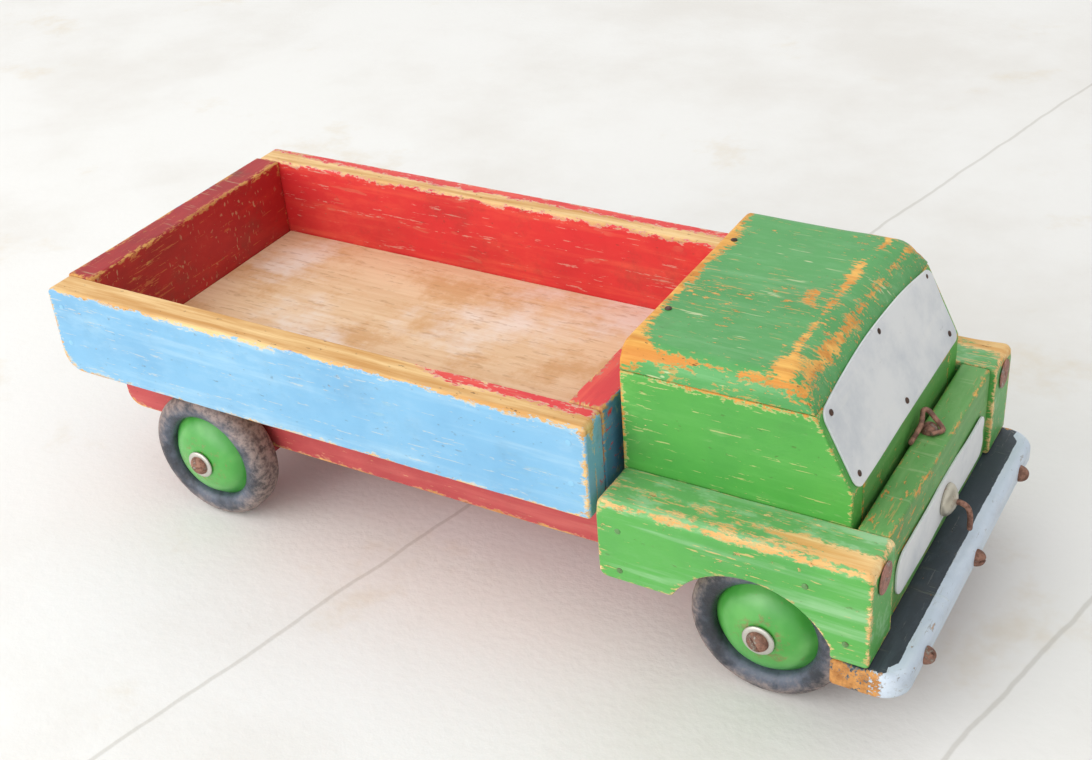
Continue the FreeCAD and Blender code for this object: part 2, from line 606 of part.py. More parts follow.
def make_fasteners():
    """Every group of nails and screws; the boards are then drilled with their shapes."""
    groups = {}
    groups["wheel"] = placed_group(
        "wheel_screws", lambda name: round_head_screw(name, "wheel_screw_radius", "wheel_screw_length"),
        at_wheels(SCREW_SEAT))
    placed_group("wheel_washers_outer", washer, at_wheels(WASHER_OUT))
    placed_group("wheel_washers_inner", washer, at_wheels(CHASSIS_SIDE))

    screws = []
    level = f"({total(BUMPER_LOW, BUMPER_TOP)} / 2)"
    for index, place_y in enumerate(("-bumper_screw_place", "0", "bumper_screw_place"), start=1):
        length = "bumper_middle_screw_length" if place_y == "0" else "bumper_screw_length"
        screw = round_head_screw(f"bumper_screw_{index}", "wheel_screw_radius", length, "small_screw_head")
        place(screw, (BUMPER_FRONT, place_y, level), "+x")
        screws.append(screw)
    groups["bumper"] = group("bumper_screws", screws)

    tail = total(BED_REAR, "tail_board / 2")
    front = less(BED_FRONT, "front_board / 2")
    spots = []
    for x in (tail, front):
        for rise in ("bed_nail_low", "bed_nail_high"):
            spots += both_sides(BED_SIDE, x, total(BED_LOW, rise))
    groups["bed"] = placed_group("bed_nails", nail, spots)

    roof_x = total(CAB_REAR, "cab_board / 2")
    groups["roof"] = placed_group("roof_nails", nail, [((roof_x, "roof_nail_place", ROOF_TOP), "+z"),
                                                       ((roof_x, "-roof_nail_place", ROOF_TOP), "+z")])

    high = less(FENDER_TOP, "fender_nail_drop")
    low = total(BUMPER_TOP, "fender_lobe_rise", "fender_nail_lobe")
    rear = total(CAB_REAR, "fender_nail_rear")
    spots = both_sides(FENDER_SIDE, rear, high)
    spots += both_sides(FENDER_SIDE, less(CAB_FRONT, "fender_nail_front"), high)
    spots += both_sides(FENDER_SIDE, total(BONNET_REAR, "fender_nail_toe"),
                        total(BUMPER_TOP, "fender_nail_foot"))
    long_nails = [(spot, turn, "nail_length") for spot, turn in spots]
    short_nails = [(spot, turn, "short_nail_length")
                   for spot, turn in both_sides(FENDER_SIDE, rear, low)]
    pieces = []
    for index, (spot, turn, length) in enumerate(long_nails + short_nails, start=1):
        piece = nail(f"fender_nail_{index}", length)
        place(piece, spot, turn)
        pieces.append(piece)
    groups["fender"] = group("fender_nails", pieces)

    spots = []
    corner_nail = less(SCREEN_PLATE_SIDE, "screen_nail_margin")
    for down in ("screen_nail_edge", "screen_plate_length - screen_nail_edge"):
        x, z = on_screen(down, "plate_sheet")
        spots += [((x, side, z), "screen") for side in (f"-{corner_nail}", "0", corner_nail)]
    groups["screen"] = placed_group("windscreen_nails", lambda name: nail(name, "tack_length"), spots)

    screw_x = total(BED_REAR, "hinge_depth * 0.6")
    sides = ("-hinge_screw_place", "0", "hinge_screw_place")
    groups["hinge_fixed"] = placed_group("hinge_fixed_screws", countersunk_screw,
                                         [((screw_x, side, CHASSIS_TOP), "+z") for side in sides])
    groups["hinge_moving"] = placed_group("hinge_moving_screws", countersunk_screw,
                                          [((screw_x, side, CHASSIS_TOP), "-z") for side in sides])

    clip_screw = round_head_screw("clip_screw_turned", "wheel_screw_radius", "clip_screw_length",
                                  "small_screw_head")
    place(clip_screw, (less(BONNET_FRONT, "clip_screw_back"), "clip_screw_side", FENDER_TOP), "+z")
    groups["clip"] = keep("bonnet_clip_screw", clip_screw)
    return groups


def make_truck():
    fasteners = make_fasteners()
    light_nails = make_lights()
    hook = keep("front_hook", make_hook())
    make_chassis(fasteners["wheel"], fasteners["hinge_fixed"], fasteners["bumper"])
    make_cab(fasteners["roof"], fasteners["fender"], fasteners["screen"])
    make_bonnet(fasteners["fender"], fasteners["clip"], hook)
    make_fenders(fasteners["fender"], light_nails)
    make_bumper(fasteners["bumper"])
    make_screen_plate(fasteners["screen"])
    make_grille(hook)
    make_clip()
    make_bed(fasteners["bed"], fasteners["hinge_moving"])
    make_hinge(fasteners["hinge_fixed"], fasteners["hinge_moving"])
    for corner, axle_x, way in WHEELS:
        make_wheel(corner, axle_x, way)


def check_and_write():
    """Refuses a failed object or a bad shape, then writes every sub-part."""
    doc.recompute()
    failed = [thing.Label for thing in doc.Objects if {"Invalid", "Error"} & set(thing.State)]
    if failed:
        raise RuntimeError("objects that failed: " + ", ".join(failed))
    for name, thing in NODES.items():
        shape = thing.Shape
        if shape.isNull() or not shape.isValid() or not shape.Solids:
            raise RuntimeError(f"{name} has no valid solid")
    os.makedirs("parts", exist_ok=True)
    whole = FreeCAD.BoundBox()
    for name, thing in NODES.items():
        thing.Shape.exportStep(f"parts/{name}.step")
        whole.add(thing.Shape.BoundBox)
        print(f"{name}: {len(thing.Shape.Solids)} solid(s), {thing.Shape.Volume:.0f} mm3")
    print(f"{len(NODES)} sub-parts, box {whole.XMin:.2f} {whole.YMin:.2f} {whole.ZMin:.2f} to "
          f"{whole.XMax:.2f} {whole.YMax:.2f} {whole.ZMax:.2f}")


make_truck()
check_and_write()
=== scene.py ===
# %% [markdown]
# # A worn wooden dump truck
# The truck is a child's toy nailed together from painted boards. Its structure comes
# packed as a fixed frame, and this lesson gives it its looks: boards with softened,
# rubbed edges, paint worn down to the wood, rusty steel and dusty rubber. Working
# around a fixed frame keeps every piece where the joints expect it.

# %% Load the frame
import math
import bmesh
import bpy
import numpy as np
from mathutils import Matrix, Vector
from mathutils.geometry import delaunay_2d_cdt


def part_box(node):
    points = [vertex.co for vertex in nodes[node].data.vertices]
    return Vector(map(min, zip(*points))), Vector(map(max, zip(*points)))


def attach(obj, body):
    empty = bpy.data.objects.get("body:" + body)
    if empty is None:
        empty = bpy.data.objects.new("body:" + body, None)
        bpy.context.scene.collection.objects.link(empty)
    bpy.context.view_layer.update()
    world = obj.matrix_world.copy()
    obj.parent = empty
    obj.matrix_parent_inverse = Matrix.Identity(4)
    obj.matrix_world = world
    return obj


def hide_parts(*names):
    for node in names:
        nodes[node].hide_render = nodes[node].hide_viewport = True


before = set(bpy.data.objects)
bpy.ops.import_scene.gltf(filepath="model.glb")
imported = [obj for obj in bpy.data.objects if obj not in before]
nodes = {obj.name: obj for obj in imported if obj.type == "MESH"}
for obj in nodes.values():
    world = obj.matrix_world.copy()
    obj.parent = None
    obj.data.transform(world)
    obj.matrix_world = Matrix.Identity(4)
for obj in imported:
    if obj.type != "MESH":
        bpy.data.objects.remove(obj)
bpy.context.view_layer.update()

# %% [markdown]
# ## Sizes
# Shapes are worked out in millimetres, the unit a toy maker's ruler is marked in, and
# turned into metres only when a mesh is made. Each board's corners are read from the
# frame, so a board never drifts from the part that it stands for.

# %% Reading the frame in millimetres
MM = 0.001


def corners(node):
    """A node's lowest and highest corners, in millimetres, as two arrays."""
    low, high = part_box(node)
    return np.array(low) / MM, np.array(high) / MM


def middle(node):
    low, high = corners(node)
    return (low + high) / 2


CORNERS = ("front_left", "front_right", "rear_left", "rear_right")
print("cab roof from", *corners("cab_roof_board"))

# %% [markdown]
# ## Smooth randomness
# Hand-sawn boards are never quite straight and their edges never evenly rubbed. A sum
# of sine waves in random directions gives a smooth, repeatable unevenness; it is
# cheaper than a noise texture and works on whole arrays of points.

# %% Unevenness as a sum of waves


def uneven(points, seed, size, layers=3):
    """About -1 to 1 at each point: sines of random direction and phase, each layer half the size."""
    random = np.random.default_rng(seed)
    value = np.zeros(len(points))
    for layer in range(layers):
        for _ in range(4):
            way = random.normal(size=3)
            way *= 2 * np.pi * 2 ** layer / (size * np.linalg.norm(way))
            value += np.sin(points @ way + random.uniform(0, 2 * np.pi)) / 2 ** layer
    return value / (2.6 * (2 - 0.5 ** (layers - 1)))


print("unevenness at three places", uneven(np.array([[0, 0, 0], [30, 0, 0], [60, 0, 0]]), 1, 40).round(2))

# %% [markdown]
# ## From points to a piece
# Every surface below ends as an array of points and an array of faces. Numbers that the
# paint needs, such as how far a point lies inside a worn patch, travel with the mesh as
# point attributes, because they follow the board and not the world.

# %% Putting points into a mesh


def make_piece(name, points, faces, fields=None):
    """A smooth mesh from millimetres, its faces turned outwards.

    Each field is a number for every point, or one number for them all.
    """
    mesh = bpy.data.meshes.new(name)
    mesh.from_pydata((np.asarray(points) * MM).tolist(), [], faces)
    shell = bmesh.new()
    shell.from_mesh(mesh)
    bmesh.ops.recalc_face_normals(shell, faces=shell.faces)
    shell.to_mesh(mesh)
    shell.free()
    mesh.polygons.foreach_set("use_smooth", np.ones(len(mesh.polygons), dtype=bool))
    for field, values in (fields or {}).items():
        layer = mesh.attributes.new(field, "FLOAT", "POINT")
        layer.data.foreach_set("value", np.full(len(points), values, dtype=np.float32))
    mesh.update()
    piece = bpy.data.objects.new(name, mesh)
    bpy.context.scene.collection.objects.link(piece)
    return piece


def grid_faces(rows, columns, closed=False, first=0):
    """Quads between neighbouring rows of a grid; a closed grid joins its last column to its first."""
    spans = columns if closed else columns - 1
    row, column = np.meshgrid(np.arange(rows - 1), np.arange(spans), indexing="ij")
    after = (column + 1) % columns
    quads = np.stack([row * columns + column, row * columns + after,
                      (row + 1) * columns + after, (row + 1) * columns + column], axis=-1)
    return (quads.reshape(-1, 4) + first).tolist()


def finish_piece(piece, body, material, slot, *replaced):
    """Rides a piece on its body, gives it its material and hides the frame's nodes that it stands for."""
    piece.data.materials.clear()
    piece.data.materials.append(material)
    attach(piece, body)
    if replaced:
        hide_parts(*replaced)
    return piece


print("a 3 by 4 grid has", len(grid_faces(3, 4)), "faces")

# %% [markdown]
# ## A worn rectangular board
# A board could be a cube with a Bevel modifier, but a bevel is even and a rubbed edge is
# not. Here the box's six faces are one grid of points. Each point is pulled onto a ball
# of the local edge radius that rolls inside the box, and the radius changes along the
# board, so corners come out soft where hands and floors have been.

# %% Boards with an uneven rounding
NEAR_EDGE = np.array([0.0, 0.25, 0.6, 1.0, 1.6, 2.4, 3.6, 5.5])
WARP = 0.12


def spaced(length, step=5.0):
    """Places along a length, close together at both ends and `step` apart between."""
    edge = NEAR_EDGE[NEAR_EDGE < length * 0.48]
    count = max(1, int(round((length - 2 * edge[-1]) / step)))
    between = np.linspace(edge[-1], length - edge[-1], count + 1)[1:-1]
    return np.concatenate([edge, between, (length - edge)[::-1]])


def box_grid(low, high):
    """The six faces of a box as one welded grid of points, with quads that face outwards."""
    points, faces, start = [], [], 0
    for axis in range(3):
        across, along = (axis + 1) % 3, (axis + 2) % 3
        u, v = spaced(high[across] - low[across]), spaced(high[along] - low[along])
        for side in (0, 1):
            face = np.zeros((len(u), len(v), 3))
            face[..., axis] = (low, high)[side][axis]
            face[..., across] = low[across] + u[:, None]
            face[..., along] = low[along] + v[None, :]
            quads = np.array(grid_faces(len(u), len(v), first=start))
            faces.append(quads[:, ::-1] if side else quads)
            points.append(face.reshape(-1, 3))
            start += len(u) * len(v)
    points, faces = np.concatenate(points), np.concatenate(faces)[:, ::-1]
    keys = np.round(points * 1000).astype(np.int64)
    _, first, welded = np.unique(keys, axis=0, return_index=True, return_inverse=True)
    return points[first], welded.reshape(-1)[faces].tolist()


def edge_distance(points, low, high):
    """How far each point of a box's surface is from the nearest edge: the second smallest plane distance."""
    gaps = np.concatenate([points - low, high - points], axis=1)
    return np.sort(gaps, axis=1)[:, 1]


def worn_board(name, low, high, radius, seed, paint):
    """A box rounded by a ball: each point becomes its nearest inner point plus the radius outwards.

    Then it is pressed in by up to WARP millimetres.
    """
    flat, faces = box_grid(low, high)
    ball = radius * (1 + 0.35 * uneven(flat, seed, 45))
    ball = np.minimum(ball, (high - low).min() * 0.45)[:, None]
    inner = np.clip(flat, low + ball, high - ball)
    away = flat - inner
    length = np.linalg.norm(away, axis=1, keepdims=True)
    points = inner + ball * away / length
    points -= away / length * WARP * (1 + uneven(flat, seed + 1, 60))[:, None] * 0.5
    return make_piece(name, points, faces, paint(flat, edge_distance(flat, low, high)))


print("a board 100 mm long is sampled at", len(spaced(100)), "places along it")

# %% [markdown]
# ## A board sawn to an outline
# Fenders, cab sides and anything with a curve start as an outline on the wood. The
# outline is carried through the board's thickness as rings: a quarter round at each rim
# and rows across the sawn edge. Each flat face is then filled with a lattice of points
# and joined up as triangles, so worn patches can be drawn anywhere on it.

# %% Outlines


def outline(corners):
    """A closed outline, anticlockwise, through (a, b, radius) corners, and its distance to the nearest one.

    A corner is an arc that leaves the straight cuts at radius * tan(half the turn). Radius 0 is only
    a point on a curve: it stays as it is and isn't worn.
    """
    spots = np.array([corner[:2] for corner in corners], float)
    radius = np.array([corner[2] for corner in corners], float)
    ahead = np.roll(spots, -1, axis=0) - spots
    length = np.linalg.norm(ahead, axis=1)
    ahead /= length[:, None]
    back = -np.roll(ahead, 1, axis=0)
    half = (np.pi - np.arccos(np.clip((ahead * back).sum(axis=1), -1, 1))) / 2
    trim = radius * np.tan(half)
    points, marks = [], []
    for i in range(len(spots)):
        if radius[i] > 0:
            leave, enter = spots[i] + ahead[i] * trim[i], spots[i] + back[i] * trim[i]
            middle_way = (ahead[i] + back[i]) / np.linalg.norm(ahead[i] + back[i])
            centre = spots[i] + middle_way * radius[i] / math.cos(half[i])
            share = np.linspace(-half[i], half[i], 9)[:, None]
            tangent = (leave - enter) / np.linalg.norm(leave - enter)
            arc = centre + radius[i] * (-middle_way * np.cos(share) + tangent * np.sin(share))
            marks.append(len(points) + 4)
            points += list(arc)
        else:
            points.append(spots[i])
        after = (i + 1) % len(spots)
        run = length[i] - trim[i] - trim[after]
        if radius[i] > 0 or radius[after] > 0 or run > 8:
            start = spots[i] + ahead[i] * trim[i]
            points += [start + ahead[i] * at for at in spaced(run)[1:-1]] if run > 3 else []
    points = np.array(points)
    steps = np.linalg.norm(np.roll(points, -1, axis=0) - points, axis=1)
    run = np.concatenate([[0], np.cumsum(steps)[:-1]])
    gap = np.abs(run[:, None] - run[marks][None, :])
    return points, np.minimum(gap, steps.sum() - gap).min(axis=1)


def rectangle(low, high, radii):
    """An outline from its lowest and highest corners, with four radii anticlockwise from the lowest."""
    return outline(list(zip((low[0], high[0], high[0], low[0]), (low[1], low[1], high[1], high[1]), radii)))


def outward(points):
    """At each point, the step that moves both neighbouring cuts out by one."""
    ahead = np.roll(points, -1, axis=0) - points
    ahead /= np.linalg.norm(ahead, axis=1, keepdims=True)
    normal = np.stack([ahead[:, 1], -ahead[:, 0]], axis=1)
    before = np.roll(normal, 1, axis=0)
    return (normal + before) / np.maximum(1 + (normal * before).sum(axis=1, keepdims=True), 0.6)


def filled(ring, step=4.0):
    """Lattice points inside a ring, their distance to it, and the triangles over both, ring points first."""
    low, high = ring.min(axis=0), ring.max(axis=0)
    counts = np.maximum(((high - low) / step).astype(int), 1)
    a, b = np.meshgrid(*[np.linspace(low[i], high[i], counts[i] + 1) for i in (0, 1)], indexing="ij")
    lattice = np.stack([a.ravel(), b.ravel()], axis=1)
    start, span = ring, np.roll(ring, -1, axis=0) - ring
    to = lattice[:, None, :] - start[None]
    share = np.clip((to * span).sum(axis=2) / (span ** 2).sum(axis=1), 0, 1)
    gap = np.linalg.norm(to - share[..., None] * span, axis=2).min(axis=1)
    crosses = (start[:, 1] > lattice[:, None, 1]) != (np.roll(start, -1, axis=0)[:, 1] > lattice[:, None, 1])
    slope = np.where(span[:, 1] == 0, 1e-9, span[:, 1])
    left = lattice[:, None, 0] < start[:, 0] + span[:, 0] * (lattice[:, None, 1] - start[:, 1]) / slope
    keep = ((crosses & left).sum(axis=1) % 2 == 1) & (gap > step * 0.4)
    lattice, gap = lattice[keep], gap[keep]
    count = len(ring)
    every = [Vector(spot) for spot in np.concatenate([ring, lattice]).tolist()]
    edges = [(i, (i + 1) % count) for i in range(count)]
    spots, _, triangles, sources, _, _ = delaunay_2d_cdt(every, edges, [], 1, 1e-6)
    source = [their[0] for their in sources]
    return lattice, gap, [[source[i] for i in triangle] for triangle in triangles]


square = rectangle((0, 0), (20, 20), (1, 1, 1, 1))[0]
print("a 20 mm square has", len(square), "outline points and", len(filled(square)[2]), "triangles")

# %% [markdown]
# ## From the outline to a board
# The rings share one rule for how far a point is from the crest of its nearest edge.
# Paint wears first at the crests, so that distance is what every worn patch starts from.

# %% Sawn boards


def sawn(shape, low, high, axis, rims):
    """Points, faces and edge distance of an outline carried from `low` to `high` along an axis.

    At each end the ring is set in by rim*(1 - sin a) at a depth of rim*(1 - cos a), for a from 0 to 90
    degrees. A rim is a number or a function of the outline's points.
    """
    edge, to_corner = shape
    count, out = len(edge), outward(edge)
    other = [i for i in range(3) if i != axis]

    def ring(inset, depth):
        place = np.zeros((count, 3))
        place[:, other] = edge - out * inset[:, None]
        place[:, axis] = depth
        return place

    ends = []
    for face, inwards, rim in ((low, 1, rims[0]), (high, -1, rims[1])):
        radius = rim(edge) if callable(rim) else np.full(count, float(rim))
        ends.append([(ring(radius * (1 - math.sin(turn)), face + inwards * radius * (1 - math.cos(turn))),
                      np.minimum(radius * abs(turn - math.pi / 4), to_corner + radius * (1 - math.sin(turn))))
                     for turn in np.radians(np.linspace(0, 90, 7))])
    start, stop = ends[0][-1][0][:, axis], ends[1][-1][0][:, axis]
    depths = spaced(high - low, 4.0)[1:-1] / (high - low)
    wall = [(ring(np.zeros(count), start + (stop - start) * share),
             np.minimum(np.minimum(share, 1 - share) * (stop - start) + ends[0][-1][1], to_corner))
            for share in depths]
    rings = ends[0] + wall + ends[1][::-1]
    points = [place for place, _ in rings]
    reach = [distance for _, distance in rings]
    faces = grid_faces(len(rings), count, closed=True)
    total = count * len(rings)
    for first, ends_ring in ((0, rings[0]), (total - count, rings[-1])):
        lattice, gap, triangles = filled(ends_ring[0][:, other])
        inside = np.zeros((len(lattice), 3))
        inside[:, other] = lattice
        inside[:, axis] = ends_ring[0][0, axis]
        points.append(inside)
        reach.append(gap + ends_ring[1].mean())
        faces += [[first + i if i < count else total + i - count for i in triangle] for triangle in triangles]
        total += len(lattice)
    return np.concatenate(points), faces, np.concatenate(reach)


def sawn_board(name, shape, low, high, axis, rims, seed, paint, warp=WARP, bend=None):
    """A sawn board, pressed in unevenly by up to `warp`, then moved by `bend` if it is given."""
    flat, faces, reach = sawn(shape, low, high, axis, rims)
    centre = (flat.min(axis=0) + flat.max(axis=0)) / 2
    half = (flat.max(axis=0) - flat.min(axis=0)) / 2
    pull = (flat - centre) / half * (1 + uneven(flat, seed, 50))[:, None] * 0.5 * warp
    points = flat - pull
    return make_piece(name, bend(points) if bend else points, faces, paint(flat, reach))


print("sawn boards ready")

# %% [markdown]
# ## Turned pieces
# Tyres, hub discs, washers and nail heads are all turned: a profile of radius against
# height, spun about an axis. A Screw modifier would do it too; an array of rings keeps
# the seam closed and lets a ring be pushed about afterwards.

# %% Spinning a profile


def axis_frame(way):
    """Two directions square to `way`, and `way` itself, as the columns of an array."""
    way = np.array(way, float) / np.linalg.norm(way)
    helper = np.array([0.0, 0.0, 1.0]) if abs(way[2]) < 0.9 else np.array([1.0, 0.0, 0.0])
    side = np.cross(helper, way)
    side /= np.linalg.norm(side)
    return np.stack([side, np.cross(way, side), way], axis=1)


def spun(profile, place, way, sides=64, loop=False):
    """Points and faces of a profile of (radius, height) pairs spun about `way` through `place`."""
    profile = np.array(profile, float)
    turn = np.linspace(0, 2 * np.pi, sides, endpoint=False)
    ring = np.stack([np.cos(turn), np.sin(turn)], axis=1)
    local = np.concatenate([profile[:, None, :1] * ring[None], np.broadcast_to(
        profile[:, None, 1:], (len(profile), sides, 1))], axis=2).reshape(-1, 3)
    faces = grid_faces(len(profile), sides, closed=True)
    last = (len(profile) - 1) * sides
    if loop:
        faces += [[last + i, last + (i + 1) % sides, (i + 1) % sides, i] for i in range(sides)]
    else:
        faces += [list(range(sides))[::-1], list(range(last, last + sides))]
    return local @ axis_frame(way).T + np.array(place), faces


def joined(parts):
    """Several (points, faces) pairs as one."""
    points, faces, start = [], [], 0
    for some, their in parts:
        points.append(np.asarray(some))
        faces += [[index + start for index in face] for face in their]
        start += len(some)
    return np.concatenate(points), faces


def bead(centre, radius, start, end, steps):
    """Profile points on an arc about a (radius, height) centre, angles in degrees."""
    angle = np.radians(np.linspace(start, end, steps))
    return [(centre[0] + radius * math.cos(a), centre[1] + radius * math.sin(a)) for a in angle]


ring = spun([(2, 0), (6, 0), (6, 1), (2, 1)], (0, 0, 0), (0, 0, 1), loop=True)
print("a washer has", len(ring[1]), "faces")

# %% [markdown]
# ## Screw heads
# A round screw head is a dome with a slot sawn across it. Lines of points run along the
# slot's direction, with a double line at each slot wall, so the walls stay upright
# without any cutting.

# %% Slotted domes


def slotted_dome(place, way, radius, height, slot, depth, angle):
    """A dome of height*(1-(r/radius)^2.4)^0.6, lowered by `depth` within half a slot of its middle line."""
    half = slot / radius / 2
    across = np.concatenate([np.linspace(-1, -0.72, 5), np.linspace(-0.62, -half - 0.02, 5)])
    across = np.concatenate([across, [-half, -half + 0.004, half - 0.004, half], -across[::-1]])
    along = np.sin(np.linspace(-1, 1, 19) * np.pi / 2)
    u = across[:, None] * np.ones_like(along)[None, :]
    v = along[None, :] * np.sqrt(np.maximum(1 - u ** 2, 0))
    reach = np.sqrt(np.minimum(u ** 2 + v ** 2, 1))
    top = height * (1 - reach ** 2.4) ** 0.6
    sunk = np.abs(u) < half - 0.002
    top = np.where(sunk, np.minimum(top, height - depth), top)
    local = np.stack([u * radius, v * radius, top], axis=-1).reshape(-1, 3)
    turn = math.radians(angle)
    spin = np.array([[math.cos(turn), -math.sin(turn), 0], [math.sin(turn), math.cos(turn), 0], [0, 0, 1]])
    local = local @ spin.T
    rows, columns = len(across), len(along)
    under = local * np.array([1, 1, 0]) - np.array([0, 0, 0.15])
    faces = [face[::-1] for face in grid_faces(rows, columns)]
    faces += grid_faces(rows, columns, first=rows * columns)
    rim = [i * columns for i in range(rows)] + list(range((rows - 1) * columns + 1, rows * columns))
    rim += [i * columns + columns - 1 for i in range(rows - 2, -1, -1)] + list(range(columns - 2, 0, -1))
    low = [index + rows * columns for index in rim]
    nexts = [(i + 1) % len(rim) for i in range(len(rim))]
    faces += [[rim[after], low[after], low[i], rim[i]] for i, after in enumerate(nexts)]
    return np.concatenate([local, under]) @ axis_frame(way).T + np.array(place), faces


print("a slotted head has", len(slotted_dome((0, 0, 0), (0, 0, 1), 4, 3, 1, 1, 0)[1]), "faces")

# %% [markdown]
# ## Bent wire
# The hook and the clip are round wire. A tube is carried along a smooth path, turning its
# ring of points as little as possible from one step to the next, and both ends are
# closed with a small dome.

# %% Tubes along a path


def smooth_path(places, steps=8):
    """A curve through the places: each span is a cubic whose slopes join its neighbours."""
    p = np.array([2 * np.array(places[0]) - places[1], *places, 2 * np.array(places[-1]) - places[-2]], float)
    t = np.linspace(0, 1, steps, endpoint=False)[:, None]
    spans = [0.5 * (2 * p[i] + (p[i + 1] - p[i - 1]) * t
                    + (2 * p[i - 1] - 5 * p[i] + 4 * p[i + 1] - p[i + 2]) * t ** 2
                    + (3 * p[i] - p[i - 1] - 3 * p[i + 1] + p[i + 2]) * t ** 3)
             for i in range(1, len(p) - 2)]
    return np.concatenate(spans + [p[-2:-1]])


def wire(path, radius, sides=16):
    """Points and faces of a round wire along a path, with domed ends."""
    path = np.asarray(path, float)
    along = np.gradient(path, axis=0)
    along /= np.linalg.norm(along, axis=1, keepdims=True)
    side = axis_frame(along[0])[:, 0]
    turn = np.linspace(0, 2 * np.pi, sides, endpoint=False)
    rings = []
    for place, way in zip(path, along):
        side = side - way * (side @ way)
        side /= np.linalg.norm(side)
        other = np.cross(way, side)
        rings.append(place + radius * (np.cos(turn)[:, None] * side + np.sin(turn)[:, None] * other))
    domes = [[path[end] + (rings[end] - path[end]) * math.cos(a) + along[end] * sign * radius * math.sin(a)
              for a in np.radians((30, 55, 75))] for end, sign in ((0, -1), (-1, 1))]
    rings = domes[0][::-1] + rings + domes[1]
    points = np.concatenate(rings)
    last = len(points) - sides
    faces = grid_faces(len(rings), sides, closed=True)
    return points, faces + [list(range(sides))[::-1], list(range(last, last + sides))]


print("wire through three places has", len(smooth_path([(0, 0, 0), (1, 0, 0), (1, 1, 0)])), "rings")

# %% [markdown]
# ## Shader maths as Python
# A node tree for worn paint has dozens of Math nodes, and wiring them by hand hides the
# idea. Wrapping a socket in a small class lets an expression such as `bare * 0.5 + dust`
# add its own nodes, so the paint reads like the sum that it is.

# %% Sockets that can be added up


class Value:
    """A node's output; arithmetic on it adds Math nodes to its finish."""

    def __init__(self, finish, socket):
        self.finish, self.socket = finish, socket

    def __add__(self, other):
        return self.finish.maths("ADD", self, other)

    def __sub__(self, other):
        return self.finish.maths("SUBTRACT", self, other)

    def __rsub__(self, other):
        return self.finish.maths("SUBTRACT", other, self)

    def __mul__(self, other):
        return self.finish.maths("MULTIPLY", self, other)

    __radd__, __rmul__ = __add__, __mul__


class Finish:
    """A material built up from expressions on Values."""

    def __init__(self, name):
        self.material = bpy.data.materials.new(name)
        self.material.use_nodes = True
        self.tree = self.material.node_tree
        self.tree.nodes.clear()
        self.shader = self.tree.nodes.new("ShaderNodeBsdfPrincipled")
        output = self.tree.nodes.new("ShaderNodeOutputMaterial")
        self.tree.links.new(self.shader.outputs[0], output.inputs[0])
        self.here = self.node("ShaderNodeTexCoord", {}, {}, "Object")

    def put(self, socket, value):
        """Links a Value to a socket, or sets a plain number or colour on it."""
        if isinstance(value, Value):
            self.tree.links.new(value.socket, socket)
        else:
            socket.default_value = value

    def node(self, kind, settings, inputs, output=0):
        """Any node: its type, its settings, its sockets' values, and which output is wanted."""
        node = self.tree.nodes.new(kind)
        for name, value in settings.items():
            setattr(node, name, value)
        for name, value in inputs.items():
            self.put(node.inputs[name], value)
        return Value(self, node.outputs[output])

    def maths(self, operation, first, second=0.0):
        return self.node("ShaderNodeMath", {"operation": operation}, {0: first, 1: second})

    def blend(self, share, first, second):
        """The first colour where share is 0 and the second where it is 1."""
        return self.node("ShaderNodeMix", {"data_type": "RGBA"}, {0: share, 6: first, 7: second}, 2)

    def step(self, value, start, stop):
        """0 below start and 1 above stop, smooth between."""
        return self.node("ShaderNodeMapRange", {"interpolation_type": "SMOOTHSTEP"},
                         {"Value": value, "From Min": start, "From Max": stop})

    def field(self, name):
        """A number that the mesh carries at each of its points."""
        return self.node("ShaderNodeAttribute", {"attribute_name": name}, {}, "Fac")

    def noise(self, per_metre, detail=4.0, shift=0.0, stretch=(1, 1, 1), rough=0.55, distort=0.0, turn=0.0):
        """Noise from 0 to 1 on the object's own coordinates, drawn out along an axis by a small number.

        `turn` slants the pattern, in degrees about the upright axis.
        """
        place = self.node("ShaderNodeMapping", {}, {"Vector": self.here, "Scale": stretch,
                                                    "Rotation": (0, 0, math.radians(turn)),
                                                    "Location": (shift, shift * 0.7, shift * 1.3)})
        return self.node("ShaderNodeTexNoise", {}, {"Vector": place, "Scale": per_metre, "Detail": detail,
                                                    "Roughness": rough, "Distortion": distort})

    def bump(self, height, distance):
        """Height in metres, as a change of the surface's direction."""
        normal = self.node("ShaderNodeBump", {}, {"Height": height, "Distance": distance, "Strength": 1.0})
        self.put(self.shader.inputs["Normal"], normal)

    def set(self, **sockets):
        for name, value in sockets.items():
            self.put(self.shader.inputs[name.replace("_", " ")], value)
        return self.material


def colour(code):
    """A linear colour from a six-digit code of red, green and blue."""
    parts = [int(code[i:i + 2], 16) / 255 for i in (0, 2, 4)]
    return tuple(p / 12.92 if p <= 0.04045 else ((p + 0.055) / 1.055) ** 2.4 for p in parts) + (1.0,)


print("a sky blue in linear light:", [round(part, 3) for part in colour("8CC3E4")])

# %% [markdown]
# ## Bare wood
# Under the paint is pale pine that has turned golden where hands rub it. Wood is long
# fibres, so its noise is stretched twenty to one along the grain, and a finer layer
# draws the pores. The same recipe serves every board, turned to the board's own length.

# %% Grain and bare wood
GRAIN = {"x": (0.06, 1, 1), "y": (1, 0.06, 1)}


def slightly(grain, share):
    """The grain's own stretch, drawn out less: `share` along the fibres and 1 across them."""
    return tuple(1 if part == 1 else share for part in GRAIN[grain])


